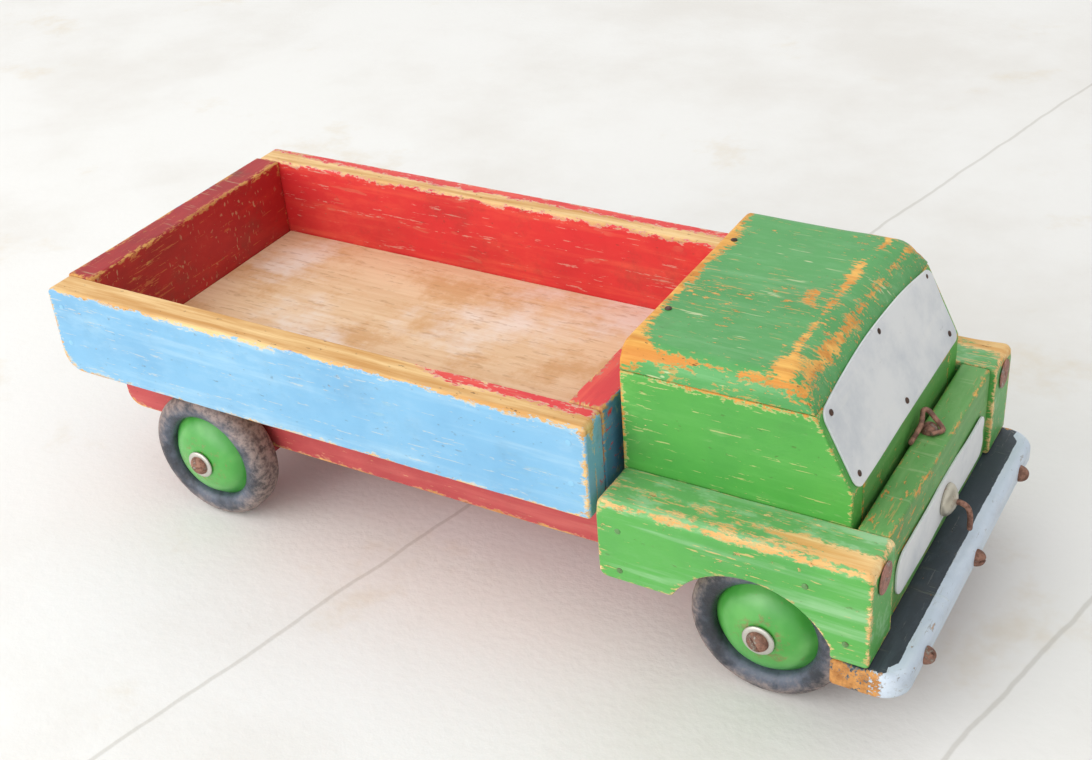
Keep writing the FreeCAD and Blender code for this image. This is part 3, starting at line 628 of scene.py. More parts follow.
def wood_colour(finish, grain, pale, dark, shift=0.0):
    """Pale and dark wood in streaks along the grain, and the streaks' own height."""
    streak = finish.noise(330, 5, shift, GRAIN[grain], rough=0.65)
    band = finish.noise(55, 3, shift + 3.0, GRAIN[grain], distort=0.6)
    share = finish.step(streak * 0.65 + band * 0.35, 0.36, 0.66)
    return finish.blend(share, colour(dark), colour(pale)), streak


def bare_wood(name, grain, pale, dark, stain, shift=0.0):
    """Unpainted board: grain, dusty haze, brown stains, short dark pores and a dull surface."""
    finish = Finish(name)
    wood, streak = wood_colour(finish, grain, pale, dark, shift)
    haze = finish.noise(14, 6, shift + 5.0, rough=0.65)
    stains = finish.noise(26, 6, shift + 7.0, rough=0.7)
    pores = finish.noise(700, 3, shift + 9.0, slightly(grain, 0.2))
    spots = finish.noise(120, 5, shift + 10.0, rough=0.7)
    wood = finish.blend(0.35, wood, colour(pale))
    wood = finish.blend(finish.step(stains, 0.46, 0.64) * 0.7, wood, colour(stain))
    wood = finish.blend(finish.step(haze + streak * 0.15, 0.56, 0.74) * 0.75, wood, colour("EFE6DA"))
    wood = finish.blend(finish.step(pores, 0.58, 0.68) * 0.35, wood, colour("A87C50"))
    wood = finish.blend(finish.step(spots, 0.70, 0.76) * 0.6, wood, colour("6E6058"))
    finish.bump(streak * 0.6 + haze * 0.3 - pores * 0.3, 0.0004)
    return finish.set(Base_Color=wood, Roughness=0.62 + haze * 0.2)


floor_wood = bare_wood("raw_plywood", "x", "EACDA6", "D6B083", "CF9F66", 1.0)
inner_wood = bare_wood("raw_pine", "x", "D9B07C", "B98753", "8E6A48", 2.0)
print(floor_wood.name, inner_wood.name)

# %% [markdown]
# ## Paint that has worn through
# Each board's mesh says, in millimetres, how deep a point lies inside a patch that is
# rubbed bare (`bare`) and inside the area of a second colour (`second`). Adding a few
# millimetres of noise before cutting the number at zero gives the ragged outline that
# flaking paint has. Two shares from 0 to 1 say how much a place is scuffed pale (`rub`),
# which on the fenders' tops is partly painted light, and how much the grime colour darkens
# it, which is dirt on most boards and painted shade on the bonnet's front face. The paint's
# edge is thick enough to catch light, so the same mask feeds the bump.

# %% Worn paint on wood


def worn_paint(name, grain, coat, light, dark, rim, second=None, wood=("EDBE72", "C98A45"), chips=0.5,
               streaks=0.5, scratches=0.3, shift=0.0, gloss=0.40, ragged=1.0, by_edge=True):
    """Paint over wood.

    `coat`, `light` and `dark` are the paint and its two streak colours, `rim` the thin line where it
    breaks, `second` another paint with its own light and dark. `chips`, `streaks` and `scratches` set
    how much is worn away from the edges. Without `by_edge`, only the noise decides where paint is gone.
    """
    finish = Finish(name)
    wood_tone, streak = wood_colour(finish, grain, *wood, shift)
    slight = slightly(grain, 0.4)
    broad = finish.noise(60, 4, shift, rough=0.6)
    middle = finish.noise(240, 5, shift + 4.0, slight, rough=0.65)
    speck = finish.noise(950, 3, shift + 6.0, slight, rough=0.6)
    cloud = finish.noise(22, 5, shift + 8.0, rough=0.6)
    lengthwise = finish.noise(150, 4, shift + 11.0, GRAIN[grain], rough=0.65)
    line = finish.noise(1000, 3, shift + 13.0, GRAIN[grain], rough=0.6)
    rub = finish.field("rub") if by_edge else 0.2
    depth = (finish.field("bare") if by_edge else -1.6) + (
        (broad - 0.5) * 5.0 + (middle - 0.5) * 6.5 + (speck - 0.5) * 7.5) * ragged
    left_over = finish.step(speck * 0.55 + middle * 0.45, 0.57, 0.61) * (1.0 - finish.step(depth, 1.2, 3.2))
    bare = finish.step(depth, -0.14, 0.2) * (1.0 - left_over * 0.8)
    breaking = finish.step(depth, -0.9, -0.1) * (1.0 - bare)

    def streaked(main, pale, deep):
        tone = finish.blend(finish.step(lengthwise, 0.50, 0.72) * 0.7, colour(main), colour(pale))
        tone = finish.blend(finish.step(cloud, 0.42, 0.68) * 0.45, tone, colour(deep))
        # rub pales the paint towards its light colour; on the fenders' tops this paleness is partly painted
        # light.
        return finish.blend((finish.step(middle, 0.44, 0.66) * 0.6 + 0.25) * rub, tone, colour(pale))

    paint = streaked(coat, light, dark)
    if second:
        inside = finish.step(finish.field("second") + (middle - 0.5) * 2.4 + (speck - 0.5) * 1.6, -0.12, 0.16)
        paint = finish.blend(inside, paint, streaked(*second))
    worn_line = finish.step(line + rub * 0.06 + (cloud - 0.5) * 0.3 + (speck - 0.5) * 0.35, 0.67, 0.71)
    paint = finish.blend(worn_line * streaks, paint, colour(rim))
    slant = finish.noise(520, 2, shift + 15.0, (0.10, 1, 0.5), rough=0.5, distort=0.4, turn=35)
    other = finish.noise(520, 2, shift + 17.0, (0.10, 1, 0.5), rough=0.5, distort=0.4, turn=-50)
    where = finish.step(finish.noise(34, 3, shift + 18.0), 0.44, 0.60)
    hair = finish.maths("MAXIMUM", finish.step(slant, 0.665, 0.695), finish.step(other, 0.665, 0.695)) * where
    paint = finish.blend(hair * scratches, paint, colour("C9D2A0"))
    flake = finish.noise(430, 4, shift + 19.0, slight, rough=0.7)
    chipped = finish.step(flake + (cloud - 0.5) * 0.45 + rub * 0.05 + (chips - 1.0) * 0.12, 0.655, 0.675)
    chip_tone = finish.blend(finish.step(speck, 0.42, 0.58), colour(rim), wood_tone)
    paint = finish.blend(chipped * 0.9, paint, chip_tone)
    paint = finish.blend(breaking * 0.6, paint, colour(rim))
    # The grime colour darkens the paint: dirt on most boards, painted shade on the bonnet's front face.
    grime = finish.step(finish.noise(40, 6, shift + 23.0, rough=0.72), 0.52, 0.74)
    paint = finish.blend(grime * (finish.field("grime") if by_edge else 0.3) * 0.55, paint, colour("4E4030"))
    tone = finish.blend(bare, paint, wood_tone)
    pit = finish.step(speck * 0.5 + flake * 0.5, 0.615, 0.65)
    tone = finish.blend(pit * (0.30 + bare * 0.45), tone, colour("5A3D22"))
    finish.bump((1.0 - bare) * 0.45 + streak * bare * 0.4 + lengthwise * 0.3 - chipped * 0.3 - hair * 0.15
                - pit * 0.3 + speck * 0.12, 0.0003)
    rough = gloss + cloud * 0.14 + bare * 0.22 + chipped * 0.15 + rub * 0.1
    return finish.set(Base_Color=tone, Roughness=rough)


RED = ("DA2C32", "EA5E48", "B21E26")
blue_side = worn_paint("blue_paint_side", "x", "78B0D4", "A2C8DE", "5E98C2", "DCD3BC", RED, shift=1.0,
                       wood=("F0CE94", "C99350"), chips=0.15, streaks=0.35, scratches=0.1)
blue_cross = worn_paint("blue_paint_cross", "y", "5288AC", "6FA3C4", "3E6680", "A99A7C", RED, shift=2.0,
                        wood=("E6BC7A", "C8904C"), chips=0.6, streaks=0.5)
# The tail board's reds (A0141A, B42A22, 6E0E12) are darker copies of RED: painted shade on its inner face,
# which is turned to the front and away from the light.
red_tail_shaded = worn_paint("red_paint_tail_shaded", "y", "5288AC", "6FA3C4", "3E6680", "C98A4C",
                      ("A0141A", "B42A22", "6E0E12"), shift=2.5, wood=("DDA85C", "B9783A"), chips=0.5,
                      streaks=0.4)
red_long = worn_paint("red_paint_chassis", "x", "B84446", "CE6A62", "982E32", "D9A47C", shift=3.0,
                      chips=0.5, streaks=0.6, scratches=0.05, gloss=0.5)
GREEN = ("4DA140", "66B255", "388A3A")
GOLD = ("EFBB5E", "CC8430")
green_top = worn_paint("green_paint_top", "x", "4C9C50", "7AB67A", "3A8442", "DDA45A", shift=4.0, wood=GOLD,
                       chips=1.0, streaks=0.5, scratches=0.75, gloss=0.34, ragged=1.4)
green_side = worn_paint("green_paint_side", "x", *GREEN, "DDCB8C", shift=5.0, wood=GOLD, chips=0.35,
                        streaks=0.45, scratches=0.1, gloss=0.36)
green_cross = worn_paint("green_paint_cross", "y", "5A9C4A", "7CB066", "47803E", "CF9A58", shift=6.0,
                         wood=GOLD, chips=0.8, streaks=0.4, scratches=0.2)
green_long = worn_paint("green_paint_fender", "x", "54A648", "9AC896", "3C8C40", "DDB474", shift=8.0,
                        wood=("FADFA4", "DFA862"), chips=0.6, streaks=0.7, scratches=0.15, gloss=0.38)
bumper_paint = worn_paint("bumper_paint", "y", "2A343E", "46525C", "1A2027", "8C8C86",
                          ("C9D6E4", "DDE5EE", "B4C2D2"), wood=("CF9350", "9C642E"), shift=7.0, chips=0.3,
                          streaks=0.25, scratches=0.08)
red_plain = worn_paint("red_paint_blocks", "y", "A02E32", "B84642", "7A2226", "B9805A", shift=10.0,
                       gloss=0.55, by_edge=False)
green_plain = worn_paint("green_paint_base", "y", *GREEN, "E0A85A", shift=11.0, by_edge=False)
print(len(bpy.data.materials), "materials so far")

# %% [markdown]
# ## Metal and rubber
# Old steel shows its metal only where it is rubbed; elsewhere rust covers it in soft,
# powdery blotches that are rough and not metallic at all. The sheet metal plates are
# dull with a faint brushed grain. Rubber is dark on the wall, with blue-grey patches of
# painted sheen, and dusty on the tread.

# %% Steel, plates, hub paint and rubber


def rusty(name, metal, rust, dark, amount, shift=0.0, bright=0.9):
    """Metal under blotches of rust; `bright` is how metallic the clean part is."""
    finish = Finish(name)
    blotch = finish.noise(420, 6, shift, rough=0.7)
    broad = finish.noise(120, 4, shift + 2.0)
    rusted = finish.step(blotch * 0.6 + broad * 0.4, 0.62 - amount * 0.3, 0.72 - amount * 0.3)
    crust = finish.blend(finish.step(blotch, 0.42, 0.62), colour(dark), colour(rust))
    finish.bump(rusted * 0.5 + blotch * 0.5, 0.0002)
    return finish.set(Base_Color=finish.blend(rusted, colour(metal), crust),
                      Metallic=bright - rusted * bright * 0.85, Roughness=0.38 + rusted * 0.35)


def sheet_metal(name, metallic=0.25):
    finish = Finish(name)
    cloud = finish.noise(30, 5, 1.0, rough=0.65)
    brushed = finish.noise(240, 3, 3.0, (1, 0.08, 1))
    spot = finish.step(finish.noise(180, 4, 5.0), 0.68, 0.76)
    tone = finish.blend(finish.step(cloud, 0.35, 0.7), colour("E8EAEB"), colour("CDD2D8"))
    tone = finish.blend(finish.step(brushed, 0.55, 0.75) * 0.25, tone, colour("F0F0EC"))
    tone = finish.blend(spot * 0.35, tone, colour("7E7F80"))
    finish.bump(brushed * 0.3 + cloud * 0.7, 0.00025)
    return finish.set(Base_Color=tone, Metallic=metallic, Roughness=0.42 + cloud * 0.2)


def hub_paint(name):
    finish = Finish(name)
    blotch = finish.noise(110, 6, 2.0, rough=0.7)
    fine = finish.noise(520, 4, 6.0, rough=0.65)
    ring = finish.field("rub") + (blotch - 0.5) * 9.0 + (fine - 0.5) * 7.0
    rusted = finish.step(ring, 0.2, 3.0)
    green = finish.blend(finish.step(finish.noise(60, 3), 0.4, 0.7), colour("3E9C36"), colour("5CB04E"))
    crust = finish.blend(finish.step(fine, 0.4, 0.65), colour("6E5A44"), colour("9A7656"))
    fleck = finish.step(fine, 0.66, 0.70)
    tone = finish.blend(rusted * 0.75, green, crust)
    finish.bump((1.0 - rusted) * 0.5 + fine * 0.3 + blotch * 0.4, 0.00025)
    return finish.set(Base_Color=finish.blend(fleck * 0.5, tone, colour("8A5A3E")),
                      Roughness=0.36 + rusted * 0.3, Coat_Weight=(1.0 - rusted) * 0.6, Coat_Roughness=0.38)


def tyre_rubber(name):
    finish = Finish(name)
    cloud = finish.noise(60, 5, 1.0, rough=0.65)
    grit = finish.noise(420, 5, 4.0, rough=0.7)
    dusty = finish.step(finish.field("tread") + (cloud - 0.5) * 16.0 + (grit - 0.5) * 8.0, -4.5, 2.5)
    # The blue-grey 5C6474 that the cloud noise mixes into the dark wall is a painted sheen, the pale room
    # reflected; 30333C is the rubber itself.
    wall = finish.blend(finish.step(cloud, 0.35, 0.65), colour("30333C"), colour("5C6474"))
    dust = finish.blend(finish.step(grit, 0.36, 0.62), colour("6C5C56"), colour("A08E86"))
    dark = finish.step(grit * 0.6 + cloud * 0.4, 0.40, 0.47)
    tone = finish.blend(dusty * 0.85, wall, dust)
    tone = finish.blend((1.0 - dark) * 0.35, tone, colour("28282C"))
    finish.bump(grit * 0.7 + cloud * 0.6, 0.0005)
    return finish.set(Base_Color=tone, Roughness=0.30 + dusty * 0.28 + grit * 0.15)


rust_steel = rusty("rusted_steel", "8C8178", "A47866", "6E4C40", 0.9)
collar_steel = rusty("collar_steel", "C4BEAE", "A08468", "7A6048", 0.25, 11.0, bright=0.6)
screw_steel = rusty("screw_steel", "A39B90", "9B7260", "704C3E", 0.85, 3.0)
nail_steel = rusty("nail_steel", "6E625A", "5F4438", "33241D", 0.8, 5.0)
painted_steel = rusty("painted_nail_steel", "5C8A50", "6E6A48", "3C3A28", 0.45, 6.0, bright=0.0)
blue_steel = rusty("blue_nail_steel", "86BCDC", "7EB2D4", "7CA2B8", 0.2, 8.0, bright=0.0)
zinc = rusty("zinc_washer", "C9C6BE", "A08A74", "7C6450", 0.05, 7.0, bright=0.7)
disc_steel = rusty("light_disc_steel", "B0A69E", "B07F72", "8A6456", 0.8, 9.0)
plate_metal, grille_metal = sheet_metal("plate_metal"), sheet_metal("grille_metal", 0.0)
hub_green, rubber = hub_paint("hub_paint"), tyre_rubber("tyre_rubber")
print(len(bpy.data.materials), "materials")

# %% [markdown]
# ## Where paint wears
# Every painted board answers the same questions at each point: how deep inside a bare
# patch it is, how deep inside the second colour, how scuffed, and how much the grime colour
# darkens it (dirt on most boards, painted shade on the bonnet's front face). The plain
# boards share one answer to the first: a wear depth that swells and shrinks along the
# board, less the distance to the edge.

# %% Wear along edges


def edge_wear(depth, seed, swell=0.8, grime=0.25):
    """bare = depth * (1 + swell * unevenness) - distance to the edge, in millimetres."""
    def paint(flat, reach):
        return {"bare": depth * (1 + swell * uneven(flat, seed, 34.0)) - reach, "rub": 0.2, "grime": grime}
    return paint


def ridge(values, centre, half_width):
    """How far inside a band the values lie: the half width less the distance from its centre."""
    return half_width - np.abs(values - centre)


def ramp(values, start, stop):
    """0 before start, 1 after stop, straight between."""
    return np.clip((values - start) / (stop - start), 0, 1)


print("wear in the middle of a band 6 wide:", ridge(0.0, 0.0, 3.0))

# %% [markdown]
# ## The load bed's side boards
# These two boards are blue outside and red inside, and their top edges are where small
# hands hold on, so the paint there has gone. One number unrolls the board over its top,
# from the outer face across the edge and down the inner face; the bare strip and the
# red paint are both intervals of that number, with borders that wander along the board.

# %% Bed sides
bed_low, bed_high = corners("bed_side_right")
BED_TOP, BED_OUT, BED_THICK = bed_high[2], abs(bed_low[1]), bed_high[1] - bed_low[1]


def bed_side_paint(seed, bare_from, bare_to, red_from):
    """unrolled = outer gap + top gap * (2 * outer gap / thickness - 1): below 0 outside, over 12 inside."""
    def paint(flat, reach):
        outer_gap, top_gap = BED_OUT - np.abs(flat[:, 1]), BED_TOP - flat[:, 2]
        unrolled = outer_gap + top_gap * (2 * outer_gap / BED_THICK - 1)
        wander = uneven(flat * [1, 0.2, 0.2], seed, 50)
        top = np.minimum(unrolled - bare_from(flat[:, 0]) + wander * 0.9,
                         bare_to(flat[:, 0]) + wander * 1.3 - unrolled)
        ends = np.minimum(flat[:, 0] - bed_low[0], bed_high[0] - flat[:, 0])
        front = ramp(flat[:, 0], 55, 67)
        outer = outer_gap < 6
        edges = (0.1 + 0.3 * front * outer + 0.4 * ramp(-flat[:, 0], 150, 172)) * (
            1 + uneven(flat, seed + 3, 30)) + 1.3 * front * outer * ramp(flat[:, 2], 74, 100) - reach
        faces_front = (bed_high[0] - flat[:, 0] < 0.5) & (top_gap > 3)
        low = ramp(-flat[:, 2], -69, -64)
        return {"bare": np.maximum(top, edges) - 1.5 * faces_front,
                "second": np.minimum(unrolled - red_from, ends - 0.4),
                "rub": np.clip(0.25 + 0.5 * low + 0.3 * uneven(flat, seed + 5, 70), 0, 1),
                "grime": 0.15 + 0.35 * (unrolled > 10)}
    return paint


side_outline = rectangle(bed_low[[0, 2]], bed_high[[0, 2]], (8.5, 1.6, 2.0, 3.0))
near_paint = bed_side_paint(11, lambda x: -0.8, lambda x: 13.0 - 7.0 * ramp(x, -15, 12), 0.2)
far_paint = bed_side_paint(21, lambda x: 5.5 - 2.5 * ramp(-x, 120, 165), lambda x: 12.6, -0.8)
for side, paint, low, high in (("right", near_paint, -71.5, -59.5), ("left", far_paint, 59.5, 71.5)):
    board = sawn_board("board_bed_side_" + side, side_outline, low, high, 1, (1.2, 1.2), 31, paint)
    finish_piece(board, "bed", blue_side, "blue_painted_wood", "bed_side_" + side)
print("bed sides are", BED_THICK, "mm thick")

# %% [markdown]
# ## The boards between them
# The tail and front boards are red all over, with their top corners rubbed golden where
# they stand a little proud of the sides. They are plain rectangles, so the rolling ball
# gives them their soft edges. The floor was never painted: it is plywood, hazed by use.

# %% Tail board, front board and floor


def cross_board_paint(face_x, inwards, depth, seed, rub, grime):
    """Blue on the outer face, red from 0.4 mm behind it; bare along the top edges."""
    def paint(flat, reach):
        high_up = flat[:, 2] > 94
        swell = 1 + 0.8 * uneven(flat, seed, 30)
        return {"bare": np.where(high_up, depth, -0.6) * swell - reach,
                "second": (flat[:, 0] - face_x) * inwards - 0.4,
                "rub": rub, "grime": grime}
    return paint


# The tail board takes the darker red that paints shade on its inner face, and a grime share of 0.8, the most
# of any board.
low, high = corners("bed_tail_board")
tail = worn_board("board_bed_tail", low, high, 1.1, 41, cross_board_paint(low[0], 1, 0.6, 42, 0.5, 0.8))
finish_piece(tail, "bed", red_tail_shaded, "red_painted_wood", "bed_tail_board")
low, high = corners("bed_front_board")
front = worn_board("board_bed_front", low, high, 1.1, 43, cross_board_paint(high[0], -1, 0.3, 44, 0.2, 0.3))
finish_piece(front, "bed", blue_cross, "red_painted_wood", "bed_front_board")
floor = worn_board("board_bed_floor", *corners("bed_floor"), 0.4, 45, lambda flat, reach: {})
finish_piece(floor, "bed", floor_wood, "bare_wood", "bed_floor")
print("three boards inside the bed")

# %% [markdown]
# ## The chassis
# One long red board carries everything. Only its edges and its underside show, and its
# paint is chalky. It is sawn to an outline because its rear lower corner is rounded off.

# %% Chassis
low, high = corners("chassis_board")
chassis_outline = rectangle(low[[0, 2]], high[[0, 2]], (7.0, 1.0, 1.0, 1.2))
chassis = sawn_board("board_chassis", chassis_outline, low[1], high[1], 1, (0.8, 0.8), 51,
                     edge_wear(0.35, 52, swell=1.6, grime=0.2))
finish_piece(chassis, "root", red_long, "red_painted_wood", "chassis_board")
print("chassis is", round(high[0] - low[0], 1), "mm long")

# %% [markdown]
# ## The roof
# The roof is the most worn piece: a thick board with a broad round at its sides and a
# broader one above the windscreen. Its outline is the cross-section, carried from back
# to front, with a rim that grows to nine millimetres at the front. Paint is lost along
# the back edge, along the near side, and in big flakes over the front round.

# %% Roof
low, high = corners("cab_roof_board")
ROOF_SIDE_ROUND, ROOF_FRONT_ROUND = 6.5, 9.0
SLOPE = 12.7 / 25.8


def roof_front_rim(edge):
    """About nine millimetres over the middle, less at the side rounds, almost none at the underside."""
    height, side = edge[:, 1] - low[2], high[1] - np.abs(edge[:, 0])
    return 0.4 + (5.6 + (ROOF_FRONT_ROUND - 6.2) * ramp(side, 6.5, 16)) * ramp(height, 1.0, 5.0)


def roof_paint(flat, reach):
    """The deepest of: a band along the back, the near crest, both near corners, and flakes over the front."""
    x, y, below = flat[:, 0] - low[0], np.abs(flat[:, 1]), np.maximum(high[2] - 2.4 - flat[:, 2], 0) * 1.6
    near = flat[:, 1] < 0
    back = 3.7 + 1.8 * uneven(flat, 61, 26) - x
    crest = np.where(flat[:, 2] > low[2] + 3, 0.5 + 1.2 * uneven(flat, 62, 20) + 0.5 * near, -1.0) - reach
    back_corner = np.where(near, 8.6 - 0.55 * x - 0.55 * (high[1] - y) + uneven(flat, 66, 12), -9)
    front_corner = np.where(near, 4.4 - np.hypot(0.85 * (x - 58), 0.6 * (y - 46)), -9)
    flakes = ridge(x, 56.8 + 2.5 * ramp(y, 30, 44), 0.8 + 2.4 * uneven(flat, 64, 20))
    loose = 1.6 - np.hypot(x - 46.5, y - 2 + 1.5 * uneven(flat, 67, 9))
    return {"bare": np.maximum.reduce([back - below, crest, back_corner - below, front_corner - below * 0.6,
                                       flakes - below, loose]),
            "rub": 0.3, "grime": 0.3}


def lean_front(points):
    """Leans the front of the roof to the windscreen's slope: x - (z - low) * slope * how near the front."""
    share = ramp(points[:, 0], 108, 130)
    return points - np.array([1, 0, 0]) * ((points[:, 2] - low[2]) * SLOPE * share)[:, None]


roof_outline = rectangle(low[[1, 2]], high[[1, 2]], (0.5, 0.5, ROOF_SIDE_ROUND, ROOF_SIDE_ROUND))
roof = sawn_board("board_cab_roof", roof_outline, low[0], high[0], 0,
                  (lambda edge: 0.4 + 1.4 * ramp(edge[:, 1], low[2] + 2, low[2] + 6), roof_front_rim),
                  65, roof_paint, warp=0.3, bend=lean_front)
finish_piece(roof, "root", green_top, "green_painted_wood", "cab_roof_board")
print("roof is", (high - low).round(1), "mm")

# %% [markdown]
# ## The cab's walls
# Two side boards lean back at the windscreen, and a sloping board closes the front
# between them. All three are cut from the same outline. The near wall has long pale
# scratches that run back from its door area, so its scuffs follow the board.

# %% Cab sides, sloping board and back
low, high = corners("cab_side_right")
SLOPE_TOP = corners("cab_roof_board")[1][0]
SILL = low[2] + 27.7
wall_outline = outline([(low[0], low[2], 1.0), (high[0], low[2], 0.9), (high[0], SILL, 1.2),
                        (SLOPE_TOP, high[2], 0.9), (low[0], high[2], 0.9)])


def wall_paint(flat, reach):
    """Bare along the windscreen's edges only; scuffed pale at the upper back."""
    edges = 0.5 * ramp(flat[:, 2], 92, 112) * (1 + uneven(flat, 72, 20)) - 0.5
    back = ramp(-flat[:, 0], -84, -73) * ramp(flat[:, 2], 84, 96)
    return {"bare": edges * (flat[:, 0] > 110) - reach,
            "rub": np.clip(0.15 + 0.75 * back + 0.25 * uneven(flat, 74, 40), 0, 1), "grime": 0.2}


for side in ("right", "left"):
    low, high = corners("cab_side_" + side)
    wall = sawn_board("board_cab_side_" + side, wall_outline, low[1], high[1], 1, (0.7, 0.7), 71, wall_paint)
    finish_piece(wall, "root", green_side, "green_painted_wood", "cab_side_" + side)
low, high = corners("cab_screen_board")
DEPTH = SLOPE_TOP - low[0]
screen_outline = outline([(high[0] - DEPTH, low[2], 0.4), (high[0], low[2], 0.4), (high[0], SILL, 0.8),
                          (SLOPE_TOP, high[2], 0.4), (low[0], high[2], 0.4), (high[0] - DEPTH, SILL, 0.4)])
slope = sawn_board("board_cab_screen", screen_outline, low[1], high[1], 1, (0.2, 0.2), 73, edge_wear(0.2, 74))
finish_piece(slope, "root", green_cross, "green_painted_wood", "cab_screen_board")
back = worn_board("board_cab_back", *corners("cab_back_board"), 0.5, 75, edge_wear(0.3, 76))
finish_piece(back, "root", green_cross, "green_painted_wood", "cab_back_board")
print("the cab's sill is at", round(SILL, 1), "mm")

# %% [markdown]
# ## Fenders
# The fenders are thick blocks with a round cut-out over each front wheel. Their outer
# top edge has worn along two lines, one on each side of its round, and all the way
# across near the front where the truck is pushed.

# %% Fenders
FENDER_INNER, FENDER_OUTER = 53.5, 74.2
low, high = corners("fender_right")
arch_x, arch_z, ARCH = middle("tyre_front_right")[0], low[2] - 9.5, 31.0
foot_x, LOBE = corners("bonnet_block")[0][0], 44.0
first = math.asin((LOBE - arch_z) / ARCH)
last = math.acos((foot_x - arch_x) / ARCH)
sweep = np.linspace(math.pi - first, last, 25)[1:-1]
arch = [(arch_x + ARCH * math.cos(a), arch_z + ARCH * math.sin(a), 0) for a in sweep]
fender_outline = outline(
    [(low[0], LOBE, 3.0), (arch_x - ARCH * math.cos(first), LOBE, 2.0)] + arch
    + [(foot_x, arch_z + ARCH * math.sin(last), 0.8), (foot_x, low[2], 1.2), (high[0], low[2], 1.5),
       (high[0], high[2], 2.6), (low[0], high[2], 2.6)])


def fender_rim(edge):
    """Four millimetres along the top, less at its ends, and one elsewhere."""
    ends = np.minimum(edge[:, 0] - low[0], high[0] - edge[:, 0])
    return 0.9 + 1.5 * ramp(edge[:, 1], 70, 75) + 1.5 * ramp(edge[:, 1], 74, 75.5) * ramp(ends, 3, 12)


def fender_paint(seed, outer):
    """Two lines along the outer top edge, one on its crest and one inside it, that run together in front."""
    def paint(flat, reach):
        x, top_gap, outer_gap = flat[:, 0], high[2] - flat[:, 2], np.abs(flat[:, 1] - outer)
        over = outer_gap - top_gap
        front = ramp(x, 118, 160)
        swell, small = uneven(flat, seed, 40), uneven(flat, seed + 4, 14)
        crest = ridge(over, -0.4, 0.8 + 0.5 * swell + 0.4 * small + 0.7 * front)
        inner_line = ridge(over, 9.8 - 3.4 * front, 1.0 + 0.9 * swell + 0.5 * small + 1.6 * front)
        between = ridge(over, 4.0, 3.6) - 3.8 + 3.0 * front + 1.4 * swell
        near_top = np.minimum(outer_gap, top_gap) < 3.5
        lines = np.where(near_top, np.maximum.reduce([crest, inner_line, between]), -5.0)
        heavy = 0.9 * ramp(x, 160, 165) - 0.5 + 0.7 * uneven(flat, seed + 1, 18) - reach
        # rub is 0.95 on the top face and about 0.1 on the sides: the top's pale haze is partly real scuffing
        # and partly painted light, the face turned up to the light made paler than the sides.
        return {"bare": np.maximum(lines, heavy),
                "rub": np.where(top_gap < 2.5, 0.95, 0.08 + 0.05 * small), "grime": 0.2}
    return paint


for side, sign in (("right", -1), ("left", 1)):
    faces_at = sorted((FENDER_INNER * sign, FENDER_OUTER * sign))
    rims = (fender_rim, 0.6) if sign < 0 else (0.6, fender_rim)
    block = sawn_board("block_fender_" + side, fender_outline, *faces_at, 1, rims, 81 + sign,
                       fender_paint(83 + sign, FENDER_OUTER * sign), warp=0.25)
    finish_piece(block, "root", green_long, "green_painted_wood", "fender_" + side)
print("wheel arch of radius", ARCH)

# %% [markdown]
# ## Bonnet
# The bonnet is a plain block between the fenders. Its front edge is rubbed bare, and
# its front face, behind the grille plate and turned from the light, is darkened with the grime colour as
# painted shade.

# %% Bonnet


def bonnet_paint(flat, reach):
    front, top = high[0] - flat[:, 0], high[2] - flat[:, 2]
    crest = 1.5 + 1.6 * uneven(flat, 91, 20) - np.hypot(front, top)
    # The grime colour at share 1.0 on the front face is painted shade: the face behind the grille, turned from
    # the light, is darkened. The 0.3 elsewhere is dirt.
    return {"bare": np.maximum(crest, 0.5 * uneven(flat, 92, 20) - 0.7 - reach),
            "rub": 0.5, "grime": 0.3 + 0.7 * (front < 1)}


bonnet = worn_board("block_bonnet", *corners("bonnet_block"), 1.2, 93, bonnet_paint)
finish_piece(bonnet, "root", green_cross, "green_painted_wood", "bonnet_block")
print("bonnet", corners("bonnet_block"))

# %% [markdown]
# ## The bumper
# A dark board whose front edge and round corners are painted silver white. The silver
# laps a little onto the top and stops behind each corner, where the sawn side is bare.

# %% Bumper
low, high = corners("bumper_board")
BUMPER_ROUND = 8.0
bumper_outline = rectangle(low[:2], high[:2], (1.6, BUMPER_ROUND, BUMPER_ROUND, 1.6))


def bumper_rim(edge):
    """1.3 mm behind, 3.2 mm along the rounded front."""
    return 1.3 + 1.9 * ramp(edge[:, 0], low[0] + 15, low[0] + 22)


def bumper_fields(flat, reach):
    """silver = 3 * (5 - distance behind the rounded front); the sides stay silver up to their bare wood."""
    front = high[0] - flat[:, 0]
    side = high[1] - np.abs(flat[:, 1])
    corner = BUMPER_ROUND - np.hypot(np.maximum(BUMPER_ROUND - front, 0), np.maximum(BUMPER_ROUND - side, 0))
    near = front < BUMPER_ROUND
    rim = np.where(near & (side < BUMPER_ROUND), corner, np.where(near, front, 99.0))
    rim = np.where((side < 1.5) & (front < 13), 0.0, rim)
    silver = (5.0 - rim) * 3
    raw = np.minimum(1.2 - side, front - 8.5)
    chips = 0.8 * uneven(flat, 101, 18) - 0.2 - reach
    return {"bare": np.maximum(raw, chips - 1.6 * (front < 10)), "second": silver,
            "rub": 0.45, "grime": 0.3}


bumper = sawn_board("board_bumper", bumper_outline, low[2], high[2], 2, (bumper_rim, bumper_rim), 102,
                    bumper_fields, warp=0.05)
finish_piece(bumper, "root", bumper_paint, "bumper_paint", "bumper_board")
print("bumper is", round(high[1] - low[1], 1), "mm wide")

# %% [markdown]
# ## Tin plates
# The windscreen and the grille are pieces of tin, cut with snips and tacked on. Hand-cut
# tin never lies flat, so a slow wave of a few tenths of a millimetre runs through each.

# %% Windscreen and grille plates
TIN = 0.8


